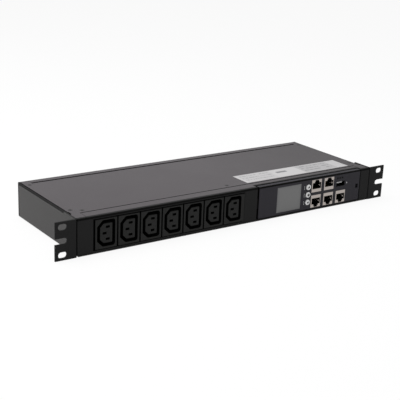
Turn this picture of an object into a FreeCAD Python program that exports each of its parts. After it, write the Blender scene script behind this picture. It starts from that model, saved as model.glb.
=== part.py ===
import FreeCAD, Part
import math
import os
import re

import Sketcher

# Rack power distribution unit, one rack unit high, in millimetres.
# Origin: centre of the rack mounting plane, which is the rear face of the two ears.
# X runs to the right seen from the front, Y to the rear and Z up.

OUTLETS = 7
JACK_COLUMNS = 3
JACK_CONTACTS = 8
HEXAGON_SIDES = 6
SAME_PLACE = 1e-4

SIZES = {
    # folded sheet steel of the case
    "sheet": 1.0,
    "bend": 0.5,
    "seam": 0.4,
    "body_depth": 152.0,
    "wall_drop": 3.3,
    "wall_ledge": 12.0,
    "rear_reveal": 1.2,
    "front_flange": 16.6,
    "rear_flange": 9.8,
    "flange_inset": 12.5,
    "foot_flange": 12.0,
    "cover_gap": 1.6,
    "cover_rear_gap": 3.4,
    "cover_shoulder": 15.0,
    "cover_inset": 1.75,
    "rail_lap": 7.0,
    "rail_width": 26.0,
    "gasket_inset": 0.4,
    "gasket_width": 3.35,
    "gasket_start": 27.0,
    # blank stretches of the front panel, left to right, and its rim round the outlets
    "left_blank": 18.95,
    "middle_blank": 18.9,
    "right_blank": 14.85,
    "rim": 3.25,
    "window_side": 2.8,
    "window_gap": 0.9,
    # rack ears
    "ear_reach": 26.55,
    "ear_thickness": 2.0,
    "ear_fold": 0.6,
    "ear_overhang": 0.3,
    "ear_flange": 26.5,
    "ear_slot_inset": 8.75,
    "ear_slot_spacing": 31.75,
    "ear_slot_length": 10.3,
    "ear_slot_width": 7.0,
    "notch_depth": 14.0,
    "notch_width": 6.8,
    # countersunk screws of the lid
    "screw": 3.0,
    "screw_head": 5.0,
    "screw_play": 0.2,
    "corner_screw_edge": 3.05,
    "corner_screw_front": 28.7,
    "corner_screw_rear": 17.7,
    "row_screw_inset": 18.35,
    "row_screw_front": 22.3,
    # moulded outlets
    "outlet_recess": 0.3,
    "outlet_groove": 1.95,
    "outlet_lip": 0.95,
    "outlet_rim": 3.0,
    "outlet_wall": 1.2,
    "outlet_play": 0.2,
    "moat_wide": 22.6,
    "moat_tall": 30.8,
    "moat_gap": 3.8,
    "moat_depth": 17.5,
    "moat_chamfer": 7.0,
    "moat_round": 3.2,
    "nose_round": 1.5,
    "outlet_back": 2.5,
    "contact_slot_wide": 5.0,
    "contact_slot_tall": 2.8,
    "contact_spread": 7.0,
    "contact_offset": 2.0,
    "contact_play": 0.1,
    "contact_leaf": 0.4,
    "contact_setback": 8.0,
    "tail_wide": 2.4,
    "tail_thick": 0.8,
    # switching board behind the outlets
    "board": 1.6,
    "board_gap": 0.2,
    "relay_wide": 18.0,
    "relay_deep": 15.0,
    "relay_tall": 13.0,
    "busbar_thick": 1.5,
    "busbar_tall": 4.0,
    "busbar_pitch": 6.5,
    "busbar_inset": 14.0,
    "bracket_wide": 8.0,
    "bracket_foot": 12.0,
    "bracket_leg": 16.0,
    # controller front
    "bezel_gap": 2.9,
    "bezel_clear": 1.0,
    "bezel_plate": 2.2,
    "bezel_rim": 1.6,
    "bezel_depth": 6.5,
    "bezel_drop": 0.4,
    "bezel_edge": 0.8,
    "opening_notch": 8.0,
    "clip_reach": 2.0,
    "clip_thick": 2.0,
    "clip_tall": 12.0,
    "clip_play": 0.2,
    "display_inset": 28.4,
    "display_width": 38.6,
    "display_height": 32.8,
    "display_recess": 0.2,
    "display_frame": 2.6,
    "display_frame_tall": 1.2,
    "display_deep": 5.0,
    "pane_play": 0.1,
    "release_inset": 4.8,
    "release_wide": 4.2,
    "release_tall": 5.8,
    "post_inset": 9.0,
    "post_size": 5.0,
    "post_height": 13.0,
    "post_pin": 2.4,
    "post_pin_play": 0.15,
    "post_pin_proud": 1.0,
    "controller_gap": 12.0,
    "controller_margin": 0.6,
    # push buttons
    "button_space": 7.9,
    "button_diameter": 8.0,
    "button_pitch": 10.0,
    "button_play": 0.3,
    "button_proud": 0.9,
    "button_lug": 0.9,
    "button_lug_thick": 0.8,
    "button_stem": 3.2,
    "button_stem_play": 0.4,
    "button_travel": 0.5,
    "switch_size": 6.0,
    "switch_deep": 3.6,
    "switch_well": 2.2,
    # network jacks
    "jack_space": 1.5,
    "jack_size": 16.2,
    "jack_between": 4.8,
    "jack_row_gap": 4.0,
    "jack_head": 0.2,
    "jack_recess": 0.2,
    "jack_play": 0.2,
    "jack_skin": 0.4,
    "jack_bar": 4.6,
    "plug_wide": 12.0,
    "plug_tall": 7.3,
    "plug_deep": 11.0,
    "key_wide": 7.0,
    "key_tall": 1.6,
    "latch_wide": 4.4,
    "latch_tall": 1.9,
    "pin_pitch": 1.02,
    "pin_wide": 0.5,
    "pin_thick": 0.35,
    "pin_long": 7.0,
    "pin_angle": 14.0,
    "pin_setback": 2.0,
    "pin_play": 0.05,
    "port_margin": 24.7,
    # data port and lights
    "usb_wide": 14.4,
    "usb_tall": 6.4,
    "usb_skin": 0.4,
    "usb_rise": 7.2,
    "usb_shift": 1.2,
    "tongue_wide": 11.2,
    "tongue_thick": 1.9,
    "tongue_long": 8.5,
    "tongue_base": 2.0,
    "light_size": 2.0,
    "light_play": 0.15,
    "light_pitch": 4.0,
    "light_rise": 15.0,
    "light_shift": 2.6,
    # inlet in the rear panel
    "inlet_inset": 50.0,
    "inlet_wide": 31.0,
    "inlet_tall": 21.0,
    "inlet_round": 3.0,
    "inlet_wall": 1.6,
    "inlet_lip": 2.2,
    "inlet_flange": 3.0,
    "inlet_catch": 1.2,
    "inlet_catch_long": 4.0,
    "inlet_catch_tall": 10.0,
    "inlet_depth": 25.0,
    "inlet_floor": 3.0,
    "inlet_play": 0.3,
    "blade_wide": 8.0,
    "blade_thick": 2.0,
    "blade_spread": 13.0,
    "blade_offset": 8.0,
    "blade_recess": 5.0,
    "blade_tab": 8.0,
    "blade_play": 0.1,
    "link_wide": 5.0,
    "link_thick": 1.5,
    # controller supply
    "supply_wide": 80.0,
    "supply_deep": 46.0,
    "supply_front": 66.0,
    "standoff": 6.0,
    "standoff_radius": 2.6,
    "standoff_inset": 4.5,
    "transformer_wide": 24.0,
    "transformer_deep": 20.0,
    "transformer_tall": 17.0,
    "transformer_inset": 14.0,
    "capacitor_wide": 9.0,
    "capacitor_deep": 20.0,
    "capacitor_tall": 15.0,
    "capacitor_inset": 20.0,
    "ribbon_thick": 1.0,
    "ribbon_tall": 14.0,
    "ribbon_reach": 24.0,
    "ribbon_inset": 4.0,
    # sticker on the lid
    "label_width": 167.0,
    "label_depth": 30.5,
    "label_margin": 2.5,
    "label_thick": 0.12,
}

# Stations along each axis, as formulas over the sizes
FRONT = "(-ear_thickness)"
REAR = f"({FRONT} + body_depth)"
PANEL_BACK = f"({FRONT} + sheet)"
REAR_INNER = f"({REAR} - sheet)"

OUTLET_BODY_W = "(moat_wide + 2 * outlet_wall)"
OUTLET_BODY_H = "(moat_tall + 2 * outlet_wall)"
OUTLET_W = f"({OUTLET_BODY_W} + 2 * outlet_lip)"
OUTLET_H = f"({OUTLET_BODY_H} + 2 * outlet_lip)"
OUTLET_PITCH = f"({OUTLET_W} + outlet_groove)"
WINDOW_W = f"({OUTLETS - 1} * {OUTLET_PITCH} + {OUTLET_W} + 2 * window_side)"
WINDOW_H = f"({OUTLET_H} + 2 * window_gap)"

BEZEL_W = ("(display_inset + display_width + button_space + button_diameter + jack_space"
           f" + {JACK_COLUMNS} * jack_size + {JACK_COLUMNS - 1} * jack_between + port_margin)")
OPENING_W = f"(bezel_gap + {BEZEL_W} + bezel_clear)"
SIDE = f"((left_blank + {WINDOW_W} + middle_blank + {OPENING_W} + right_blank) / 2)"
TOP = (f"(max({WINDOW_H} + 2 * rim;"
       f" 2 * jack_size + jack_row_gap + 2 * jack_head + 2 * wall_drop) / 2)")
BOTTOM = f"(-{TOP})"
FLOOR = f"({BOTTOM} + sheet)"
SILL = f"({FLOOR} + sheet)"
CEILING = f"({TOP} - sheet)"
WALL_TOP = f"({TOP} - wall_drop)"
WALL_INNER = f"({SIDE} - sheet)"
RAIL_END = f"({SIDE} - gasket_inset - gasket_width - seam)"
FOLD_OUTER = "(sheet + bend)"

WINDOW_LEFT = f"(left_blank - {SIDE})"
WINDOW_RIGHT = f"({WINDOW_LEFT} + {WINDOW_W})"
OPENING_LEFT = f"({WINDOW_RIGHT} + middle_blank)"
OPENING_RIGHT = f"({OPENING_LEFT} + {OPENING_W})"
BEZEL_LEFT = f"({OPENING_LEFT} + bezel_gap)"
BEZEL_RIGHT = f"({BEZEL_LEFT} + {BEZEL_W})"
DISPLAY_LEFT = f"({BEZEL_LEFT} + display_inset)"
DISPLAY_RIGHT = f"({DISPLAY_LEFT} + display_width)"
BUTTON_X = f"({DISPLAY_RIGHT} + button_space + button_diameter / 2)"
JACK_X = f"({BUTTON_X} + button_diameter / 2 + jack_space + jack_size / 2)"
JACK_PITCH = "(jack_size + jack_between)"
LAST_JACK_X = f"({JACK_X} + {JACK_COLUMNS - 1} * {JACK_PITCH})"
JACK_ROW = "((jack_size + jack_row_gap) / 2)"
BEZEL_BACK = f"({FRONT} + bezel_plate)"
CONTROLLER_FRONT = f"({BEZEL_BACK} + controller_gap)"
CONTROLLER_REAR = f"({CONTROLLER_FRONT} + board)"

OUTLET_FACE = f"({FRONT} + outlet_recess)"
CARRIER_FRONT = f"({OUTLET_FACE} + outlet_rim)"
OUTLET_REAR = f"({OUTLET_FACE} + moat_depth + outlet_back)"
BOARD_FRONT = f"({OUTLET_REAR} + board_gap)"
BOARD_REAR = f"({BOARD_FRONT} + board)"
INLET_X = f"(inlet_inset - {SIDE})"
INLET_FACE = f"({REAR} + inlet_flange)"
INLET_INNER = f"({INLET_FACE} - inlet_depth - inlet_floor)"

doc = FreeCAD.newDocument("rack_power_unit")
sheet = doc.addObject("Spreadsheet::Sheet", "sizes")
for row, (alias, value) in enumerate(SIZES.items(), 1):
    sheet.set(f"A{row}", alias)
    sheet.set(f"B{row}", str(value))
    sheet.setAlias(f"B{row}", alias)
doc.recompute()

pieces = {}


def formula(text):
    """A formula over the size names, with each name pointing at its cell."""
    return re.sub(r"[a-z_]+", lambda word: f"sizes.{word[0]}" if word[0] in SIZES else word[0], str(text))


def number(text):
    """The present value of a formula."""
    return float(sheet.evalExpression(formula(text)))


def bind(thing, member, text):
    thing.setExpression(member, formula(text))


def keep(name, thing):
    """Registers a finished sub-part under the name of its node."""
    thing.Label = name
    pieces[name] = thing
    return thing


def minus(text):
    return f"(-({text}))"


# Sketches and features of a body

def rectangle(left, right, low, high, radius=None):
    """Four corners, rounded where a radius is given."""
    corners = [(left, low), (right, low), (right, high), (left, high)]
    return [corner + (radius,) for corner in corners] if radius else corners


def circle(across, up, radius):
    return {"centre": (across, up), "radius": radius}


def heading(start, end):
    """The unit step, along one axis, from one point towards another."""
    across = end[0] - start[0]
    up = end[1] - start[1]
    if abs(across) > abs(up):
        return (int(math.copysign(1, across)), 0)
    return (0, int(math.copysign(1, up)))


def outline_runs(corners):
    """The straight runs and quarter arcs of an outline, in order, each with the formulas of its start."""
    points = [(number(corner[0]), number(corner[1])) for corner in corners]
    bends = []
    for index, corner in enumerate(corners):
        across, up = corner[:2]
        if len(corner) == 2:
            bends.append(((across, up), (across, up), None, None))
            continue
        radius = corner[2]
        back = heading(points[index], points[index - 1])
        onward = heading(points[index], points[(index + 1) % len(points)])
        entry = (f"{across} + {back[0]} * ({radius})", f"{up} + {back[1]} * ({radius})")
        leave = (f"{across} + {onward[0]} * ({radius})", f"{up} + {onward[1]} * ({radius})")
        middle = [points[index][axis] + (back[axis] + onward[axis]) * number(radius) for axis in (0, 1)]
        left_turn = onward[0] * back[1] - onward[1] * back[0] > 0
        bends.append((entry, leave, radius, (middle, left_turn)))
    runs = []
    for index, (entry, leave, radius, arc) in enumerate(bends):
        previous_leave = bends[index - 1][1]
        gap = math.dist([number(part) for part in previous_leave], [number(part) for part in entry])
        if gap > SAME_PLACE:
            runs.append((previous_leave, entry, None, None))
        if arc:
            runs.append((entry, leave, radius, arc))
    return runs


def fix_point(drawing, element, end, across, up):
    """Ties one end of an element to two formulas measured from the sketch's origin."""
    for kind, text in (("DistanceX", across), ("DistanceY", up)):
        index = drawing.addConstraint(Sketcher.Constraint(kind, -1, 1, element, end, number(text)))
        bind(drawing, f"Constraints[{index}]", text)


def fix_radius(drawing, element, text):
    index = drawing.addConstraint(Sketcher.Constraint("Radius", element, number(text)))
    bind(drawing, f"Constraints[{index}]", text)


def draw_circle(drawing, centre, radius):
    across, up = centre
    middle = FreeCAD.Vector(number(across), number(up), 0)
    element = drawing.addGeometry(Part.Circle(middle, FreeCAD.Vector(0, 0, 1), number(radius)))
    fix_point(drawing, element, 3, across, up)
    fix_radius(drawing, element, radius)


def draw_outline(drawing, corners):
    """A closed outline, each start tied to its formulas and each end to the next start."""
    ends = []
    for start, stop, radius, arc in outline_runs(corners):
        first = FreeCAD.Vector(number(start[0]), number(start[1]), 0)
        last = FreeCAD.Vector(number(stop[0]), number(stop[1]), 0)
        if arc is None:
            element = drawing.addGeometry(Part.LineSegment(first, last))
            begin, finish = 1, 2
        else:
            middle, left_turn = arc
            centre = FreeCAD.Vector(middle[0], middle[1], 0)
            from_point, to_point = (first, last) if left_turn else (last, first)
            begin, finish = (1, 2) if left_turn else (2, 1)
            round_edge = Part.Circle(centre, FreeCAD.Vector(0, 0, 1), number(radius))
            angles = [math.atan2(p.y - centre.y, p.x - centre.x) for p in (from_point, to_point)]
            element = drawing.addGeometry(Part.ArcOfCircle(round_edge, angles[0], angles[1]))
        fix_point(drawing, element, begin, *start)
        if arc:
            fix_radius(drawing, element, radius)
        ends.append((element, begin, finish))
    for (element, _, finish), (follower, begin, _) in zip(ends, ends[1:] + ends[:1]):
        drawing.addConstraint(Sketcher.Constraint("Coincident", element, finish, follower, begin))


def drawing_on(body, name, plane, level, loops):
    """A sketch on one of the body's own planes, moved along that plane's axis to a level."""
    drawing = body.newObject("Sketcher::SketchObject", name)
    support = next(item for item in body.Origin.OriginFeatures if item.Role == plane)
    drawing.AttachmentSupport = [(support, "")]
    drawing.MapMode = "FlatFace"
    bind(drawing, "AttachmentOffset.Base.z", minus(level) if plane == "XZ_Plane" else level)
    for loop in loops:
        if isinstance(loop, dict):
            draw_circle(drawing, loop["centre"], loop["radius"])
        else:
            draw_outline(drawing, loop)
    return drawing


def grow(body, name, plane, loops, low, high):
    """Adds material between two levels along the plane's axis."""
    level = high if plane == "XZ_Plane" else low
    feature = body.newObject("PartDesign::Pad", name)
    feature.Profile = drawing_on(body, f"{name}_outline", plane, level, loops)
    bind(feature, "Length", f"({high}) - ({low})")
    body.Tip = feature
    return feature


def carve(body, name, plane, loops, low, high):
    """Takes material away between two levels along the plane's axis."""
    level = low if plane == "XZ_Plane" else high
    feature = body.newObject("PartDesign::Pocket", name)
    feature.Profile = drawing_on(body, f"{name}_outline", plane, level, loops)
    bind(feature, "Length", f"({high}) - ({low})")
    body.Tip = feature
    return feature


def new_body(name):
    return doc.addObject("PartDesign::Body", name)


def dress(body, kind, name, member, size, chosen):
    """A fillet or chamfer on those edges of the body's last feature that a test picks."""
    doc.recompute()
    base = body.Tip
    edges = [f"Edge{index}" for index, edge in enumerate(base.Shape.Edges, 1) if chosen(edge)]
    feature = body.newObject(f"PartDesign::{kind}", name)
    feature.Base = (base, edges)
    bind(feature, member, size)
    body.Tip = feature


def turned(name, profile):
    """A body turned about its own Z axis from a profile of radius and height formulas."""
    body = new_body(name)
    drawing = drawing_on(body, f"{name}_profile", "XZ_Plane", "0", [profile])
    feature = body.newObject("PartDesign::Revolution", f"{name}_turning")
    feature.Profile = drawing
    feature.ReferenceAxis = (drawing, ["V_Axis"])
    feature.Angle = 360
    body.Tip = feature
    return body


# Plain blocks, bars, booleans and copies

def block(name, across, deep, up):
    """A rectangular block between a low and a high formula along X, Y and Z."""
    box = doc.addObject("Part::Box", name)
    for size, axis, (low, high) in zip(("Length", "Width", "Height"), "xyz", (across, deep, up)):
        bind(box, size, f"({high}) - ({low})")
        bind(box, f"Placement.Base.{axis}", low)
    return box


UPRIGHT = FreeCAD.Rotation()
HALF_TURN = FreeCAD.Rotation(FreeCAD.Vector(0, 1, 0), 180)


def place(thing, across, deep, up, rotation=UPRIGHT):
    thing.Placement = FreeCAD.Placement(FreeCAD.Vector(), rotation)
    for axis, text in zip("xyz", (across, deep, up)):
        bind(thing, f"Placement.Base.{axis}", text)
    return thing


def hexagon(name, radius, length, across, deep, up):
    """An upright six-sided bar of that radius over its corners."""
    bar = doc.addObject("Part::Prism", name)
    bar.Polygon = HEXAGON_SIDES
    bind(bar, "Circumradius", radius)
    bind(bar, "Height", length)
    return place(bar, across, deep, up)


def copy_of(master, name, across, deep, up, rotation=UPRIGHT):
    link = doc.addObject("App::Link", name)
    link.LinkedObject = master
    return place(link, across, deep, up, rotation)


def group(name, members):
    """Separate solids that share one node."""
    compound = doc.addObject("Part::Compound", name)
    compound.Links = members
    return keep(name, compound)


def less(name, base, tools):
    """A block with other blocks taken out of it."""
    if len(tools) > 1:
        joined = doc.addObject("Part::MultiFuse", f"{name}_tools")
        joined.Shapes = tools
    else:
        joined = tools[0]
    cut = doc.addObject("Part::Cut", name)
    cut.Base = base
    cut.Tool = joined
    return cut


# Folded steel case

def base_tray():
    """Floor and side walls folded from one sheet, each wall turned in at the top as a ledge."""
    body = new_body("base_tray")
    inner_ledge = f"({SIDE} - wall_ledge)"
    profile = [
        (minus(SIDE), BOTTOM, FOLD_OUTER),
        (SIDE, BOTTOM, FOLD_OUTER),
        (SIDE, WALL_TOP, FOLD_OUTER),
        (inner_ledge, WALL_TOP),
        (inner_ledge, f"{WALL_TOP} - sheet"),
        (WALL_INNER, f"{WALL_TOP} - sheet", "bend"),
        (WALL_INNER, FLOOR, "bend"),
        (minus(WALL_INNER), FLOOR, "bend"),
        (minus(WALL_INNER), f"{WALL_TOP} - sheet", "bend"),
        (minus(inner_ledge), f"{WALL_TOP} - sheet"),
        (minus(inner_ledge), WALL_TOP),
        (minus(SIDE), WALL_TOP, FOLD_OUTER),
    ]
    grow(body, "tray_fold", "XZ_Plane", [profile], FRONT, REAR)
    front_trim = rectangle(FRONT, f"{PANEL_BACK} + seam", FLOOR, WALL_TOP)
    rear_trim = rectangle(f"{REAR_INNER} - rear_reveal", REAR, FLOOR, WALL_TOP)
    carve(body, "tray_wall_ends", "YZ_Plane", [front_trim, rear_trim], minus(SIDE), SIDE)
    keep("base_tray", body)


def corner_screw_spots():
    across = f"({RAIL_END} - corner_screw_edge)"
    deep = ("corner_screw_front", f"{REAR} - corner_screw_rear")
    return [(x, y) for x in (minus(across), across) for y in deep]


def row_screw_spots():
    return [(f"(row_screw_inset - {SIDE})", "row_screw_front"), ("0", "row_screw_front")]


def panel_fold(body, name, face_outer, face_inner, foot_end, flange_end):
    """A panel with a foot flange on the tray's floor and a top flange, both turned the same way."""
    profile = [
        (face_outer, FLOOR, FOLD_OUTER),
        (foot_end, FLOOR),
        (foot_end, SILL),
        (face_inner, SILL, "bend"),
        (face_inner, CEILING, "bend"),
        (flange_end, CEILING),
        (flange_end, TOP),
        (face_outer, TOP, FOLD_OUTER),
    ]
    grow(body, f"{name}_fold", "YZ_Plane", [profile], minus(SIDE), SIDE)


def trim_flanges(body, name, near, far):
    """Cuts the flanges back from the panel's two ends, between two depths behind its face."""
    flange = f"({SIDE} - flange_inset)"
    foot = f"({WALL_INNER} - bend - seam)"
    spans = (("flange", flange, f"{CEILING} - bend", TOP), ("foot", foot, FLOOR, f"{SILL} + bend"))
    for part, inner, low, high in spans:
        ends = [rectangle(minus(SIDE), minus(inner), near, far), rectangle(inner, SIDE, near, far)]
        carve(body, f"{name}_{part}_ends", "XY_Plane", ends, low, high)


def front_panel():
    """Face with the outlet window and the controller's opening, which runs out through the top flange."""
    body = new_body("front_panel")
    foot_end = f"({FRONT} + foot_flange)"
    flange_end = f"({FRONT} + front_flange)"
    panel_fold(body, "front", FRONT, PANEL_BACK, foot_end, flange_end)
    trim_flanges(body, "front", PANEL_BACK, f"max({foot_end}; {flange_end})")
    window = rectangle(WINDOW_LEFT, WINDOW_RIGHT, f"-{WINDOW_H} / 2", f"{WINDOW_H} / 2")
    carve(body, "front_window", "XZ_Plane", [window], FRONT, PANEL_BACK)
    opening = rectangle(OPENING_LEFT, OPENING_RIGHT, SILL, TOP)
    carve(body, "front_opening", "XZ_Plane", [opening], FRONT, f"{FRONT} + opening_notch")
    keep("front_panel", body)


def rear_panel():
    """Plain rear face with the inlet's cut-out."""
    body = new_body("rear_panel")
    foot_end = f"({REAR} - foot_flange)"
    flange_end = f"({REAR} - rear_flange)"
    panel_fold(body, "rear", REAR, REAR_INNER, foot_end, flange_end)
    trim_flanges(body, "rear", f"min({foot_end}; {flange_end})", REAR_INNER)
    half_w = "(inlet_wide / 2 + inlet_wall + inlet_play)"
    half_h = "(inlet_tall / 2 + inlet_wall + inlet_play)"
    cut = port_hole(INLET_X, "0", half_w, half_h)
    carve(body, "rear_inlet_cut", "XZ_Plane", [cut], REAR_INNER, REAR)
    keep("rear_panel", body)


def top_cover():
    """Flat lid with corner tongues that run past the flanges, the front ones out to the ears."""
    body = new_body("top_cover")
    edge = f"({SIDE} - cover_inset)"
    shoulder = f"({SIDE} - seam)"
    tongue = f"({SIDE} - flange_inset + seam)"
    front_edge = f"({FRONT} + front_flange + cover_gap)"
    rear_edge = f"({REAR} - rear_flange - cover_rear_gap)"
    tip_front = f"({PANEL_BACK} + seam)"
    tip_rear = f"({REAR_INNER} - seam)"
    right = [
        (tongue, front_edge), (tongue, tip_front), (shoulder, tip_front), (shoulder, "cover_shoulder"),
        (edge, "cover_shoulder"), (edge, tip_rear), (tongue, tip_rear), (tongue, rear_edge),
    ]
    plan = right + [(minus(across), deep) for across, deep in reversed(right)]
    grow(body, "cover_plate", "XY_Plane", [plan], CEILING, TOP)
    doc.recompute()
    spots = [circle(across, deep, "screw / 2") for across, deep in corner_screw_spots() + row_screw_spots()]
    hole = body.newObject("PartDesign::Hole", "cover_countersinks")
    hole.Profile = drawing_on(body, "cover_screw_spots", "XY_Plane", TOP, spots)
    hole.ThreadType = "None"
    hole.DepthType = "ThroughAll"
    bind(hole, "Diameter", "screw")
    hole.HoleCutType = "Countersink"
    hole.HoleCutCustomValues = True
    bind(hole, "HoleCutDiameter", "screw_head + 2 * screw_play")
    hole.HoleCutCountersinkAngle = 90
    body.Tip = hole
    keep("top_cover", body)


def rails():
    """Bars under the lid's two seams, welded on the side ledges and tapped for the lid's screws."""
    corner = corner_screw_spots()
    front_start = f"({FRONT} + front_flange - rail_lap)"
    rear_start = f"({REAR} - rear_flange + rail_lap - rail_width)"
    front_spots = corner[0::2] + row_screw_spots()
    spans = (("front_rail", front_start, front_spots), ("rear_rail", rear_start, corner[1::2]))
    for name, start, spots in spans:
        body = new_body(name)
        bar = rectangle(minus(RAIL_END), RAIL_END, start, f"{start} + rail_width")
        holes = [circle(across, deep, "screw / 2 + screw_play / 2") for across, deep in spots]
        grow(body, f"{name}_bar", "XY_Plane", [bar] + holes, WALL_TOP, CEILING)
        keep(name, body)


def gaskets():
    """Dark foam strips that close the slot between each side ledge and the lid, and show past its edge."""
    outer = f"({SIDE} - gasket_inset)"
    inner = f"({outer} - gasket_width)"
    strips = []
    for side, across in (("left", (minus(outer), minus(inner))), ("right", (inner, outer))):
        deep = (f"{FRONT} + gasket_start", REAR_INNER)
        strips.append(block(f"gasket_{side}", across, deep, (WALL_TOP, CEILING)))
    group("cover_gaskets", strips)


# Rack ears

def rack_ear(name, side):
    """An L-shaped bracket welded to the side wall: a flange, and an ear with two slots and an open notch."""
    body = new_body(name)

    def across(text):
        return text if side > 0 else minus(text)

    outer = f"({SIDE} + ear_reach)"
    flange_out = f"({SIDE} + ear_thickness)"
    fold_out = "(ear_fold + ear_thickness)"
    half = f"({TOP} + ear_overhang)"
    profile = [
        (across(SIDE), FRONT, fold_out),
        (across(outer), FRONT),
        (across(outer), "0"),
        (across(flange_out), "0", "ear_fold"),
        (across(flange_out), "ear_flange"),
        (across(SIDE), "ear_flange"),
    ]
    grow(body, f"{name}_fold", "XY_Plane", [profile], minus(half), half)
    slot_x = f"({outer} - ear_slot_inset)"
    reach = "(ear_slot_length / 2)"
    loops = []
    for level in ("(ear_slot_spacing / 2)", "(-ear_slot_spacing / 2)"):
        ends = sorted((across(f"({slot_x} - {reach})"), across(f"({slot_x} + {reach})")), key=number)
        low = f"({level} - ear_slot_width / 2)"
        high = f"({level} + ear_slot_width / 2)"
        loops.append(rectangle(ends[0], ends[1], low, high, "ear_slot_width / 2"))
    inner = across(f"({outer} - notch_depth)")
    mouth = across(outer)
    half_notch = "(notch_width / 2)"
    loops.append([(mouth, minus(half_notch)), (mouth, half_notch),
                  (inner, half_notch, half_notch), (inner, minus(half_notch), half_notch)])
    carve(body, f"{name}_slots", "XZ_Plane", loops, FRONT, "0")
    keep(name, body)


# Countersunk screws

def cover_screws():
    """Flat head, cone and shank, with the tip in the rail just above the ledge."""
    tip = "(screw_play - wall_drop)"
    profile = [
        ("0", "0"),
        ("screw_head / 2", "0"),
        ("screw / 2", "-(screw_head - screw) / 2"),
        ("screw / 2", tip),
        ("0", tip),
    ]
    form = turned("cover_screw_form", profile)
    spots = corner_screw_spots() + row_screw_spots()
    group("cover_screws", [copy_of(form, f"cover_screw_{index}", across, deep, TOP)
                           for index, (across, deep) in enumerate(spots)])


# Outlets

def outlet_x(index):
    return f"({WINDOW_LEFT} + window_side + {OUTLET_W} / 2 + {index} * {OUTLET_PITCH})"


CONTACT_SPOTS = {
    "line": ("contact_offset", "contact_spread"),
    "neutral": ("contact_offset", "-contact_spread"),
    "earth": ("-contact_offset", "0"),
}


def keyed_outline(half_w, half_h, chamfer, radius):
    """An upright oblong whose two left corners are cut off and whose right corners are rounded."""
    return [
        (minus(half_w), f"{chamfer} - {half_h}"),
        (f"{chamfer} - {half_w}", minus(half_h)),
        (half_w, minus(half_h), radius),
        (half_w, half_h, radius),
        (f"{chamfer} - {half_w}", half_h),
        (minus(half_w), f"{half_h} - {chamfer}"),
    ]


def outlet_form():
    """One moulded outlet: rim, body, keyed moat round a nose, and three contact slots."""
    body = new_body("outlet_form")
    face = rectangle(f"-{OUTLET_W} / 2", f"{OUTLET_W} / 2", f"-{OUTLET_H} / 2", f"{OUTLET_H} / 2")
    shank = rectangle(f"-{OUTLET_BODY_W} / 2", f"{OUTLET_BODY_W} / 2",
                      f"-{OUTLET_BODY_H} / 2", f"{OUTLET_BODY_H} / 2")
    grow(body, "outlet_rim_plate", "XZ_Plane", [face], OUTLET_FACE, CARRIER_FRONT)
    grow(body, "outlet_shank", "XZ_Plane", [shank], OUTLET_FACE, OUTLET_REAR)
    half_w = "(moat_wide / 2)"
    half_h = "(moat_tall / 2)"
    moat = keyed_outline(half_w, half_h, "moat_chamfer", "moat_round")
    nose_chamfer = f"(moat_chamfer - moat_gap * {2 - math.sqrt(2)})"
    nose = keyed_outline(f"({half_w} - moat_gap)", f"({half_h} - moat_gap)", nose_chamfer, "nose_round")
    carve(body, "outlet_moat", "XZ_Plane", [moat, nose], OUTLET_FACE, f"{OUTLET_FACE} + moat_depth")
    slots = []
    for across, up in CONTACT_SPOTS.values():
        slots.append(rectangle(f"{across} - contact_slot_wide / 2", f"{across} + contact_slot_wide / 2",
                               f"{up} - contact_slot_tall / 2", f"{up} + contact_slot_tall / 2"))
    carve(body, "outlet_contact_slots", "XZ_Plane", slots, OUTLET_FACE, OUTLET_REAR)
    return body


def contact_form():
    """A folded brass receptacle, open to the front, with a tail that is soldered into the board."""
    body = new_body("contact_form")
    half = "(contact_slot_tall / 2 - contact_play)"
    inside = f"({half} - contact_leaf)"
    start = f"({OUTLET_FACE} + contact_setback)"
    stop = OUTLET_REAR
    fold = f"({stop} - contact_leaf)"
    profile = [
        (start, minus(half)), (stop, minus(half)), (stop, half), (start, half),
        (start, inside), (fold, inside), (fold, minus(inside)), (start, minus(inside)),
    ]
    wide = "(contact_slot_wide / 2 - contact_play)"
    grow(body, "contact_fold", "YZ_Plane", [profile], minus(wide), wide)
    tail = rectangle("-tail_wide / 2", "tail_wide / 2", "-tail_thick / 2", "tail_thick / 2")
    grow(body, "contact_tail", "XZ_Plane", [tail], stop, BOARD_REAR)
    return body


def outlets():
    moulding = outlet_form()
    contact = contact_form()
    for index in range(OUTLETS):
        keep(f"outlet_{index + 1}", copy_of(moulding, f"outlet_{index + 1}", outlet_x(index), "0", "0"))
    for pole, (shift, up) in CONTACT_SPOTS.items():
        middles = [f"{outlet_x(index)} + {shift}" for index in range(OUTLETS)]
        group(f"{pole}_contacts", [copy_of(contact, f"{pole}_contact_{index}", middle, "0", up)
                                   for index, middle in enumerate(middles)])


def outlet_carrier():
    """A folded plate behind the window: its foot lies on the panel's foot flange."""
    body = new_body("outlet_carrier")
    back = f"({CARRIER_FRONT} + sheet)"
    foot_end = f"({FRONT} + foot_flange)"
    top_edge = f"({WINDOW_H} / 2 + sheet)"
    profile = [
        (CARRIER_FRONT, SILL, FOLD_OUTER),
        (foot_end, SILL),
        (foot_end, f"{SILL} + sheet"),
        (back, f"{SILL} + sheet", "bend"),
        (back, top_edge),
        (CARRIER_FRONT, top_edge),
    ]
    grow(body, "carrier_fold", "YZ_Plane", [profile], f"{WINDOW_LEFT} - sheet", f"{WINDOW_RIGHT} + sheet")
    half_w = f"({OUTLET_BODY_W} / 2 + outlet_play)"
    half_h = f"({OUTLET_BODY_H} / 2 + outlet_play)"
    middles = [outlet_x(index) for index in range(OUTLETS)]
    holes = [rectangle(f"{middle} - {half_w}", f"{middle} + {half_w}", minus(half_h), half_h)
             for middle in middles]
    carve(body, "carrier_holes", "XZ_Plane", holes, CARRIER_FRONT, foot_end)
    keep("outlet_carrier", body)


# Switching board

BUSBAR_LEVELS = {"earth": 0, "line": 1, "neutral": 2}


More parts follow.
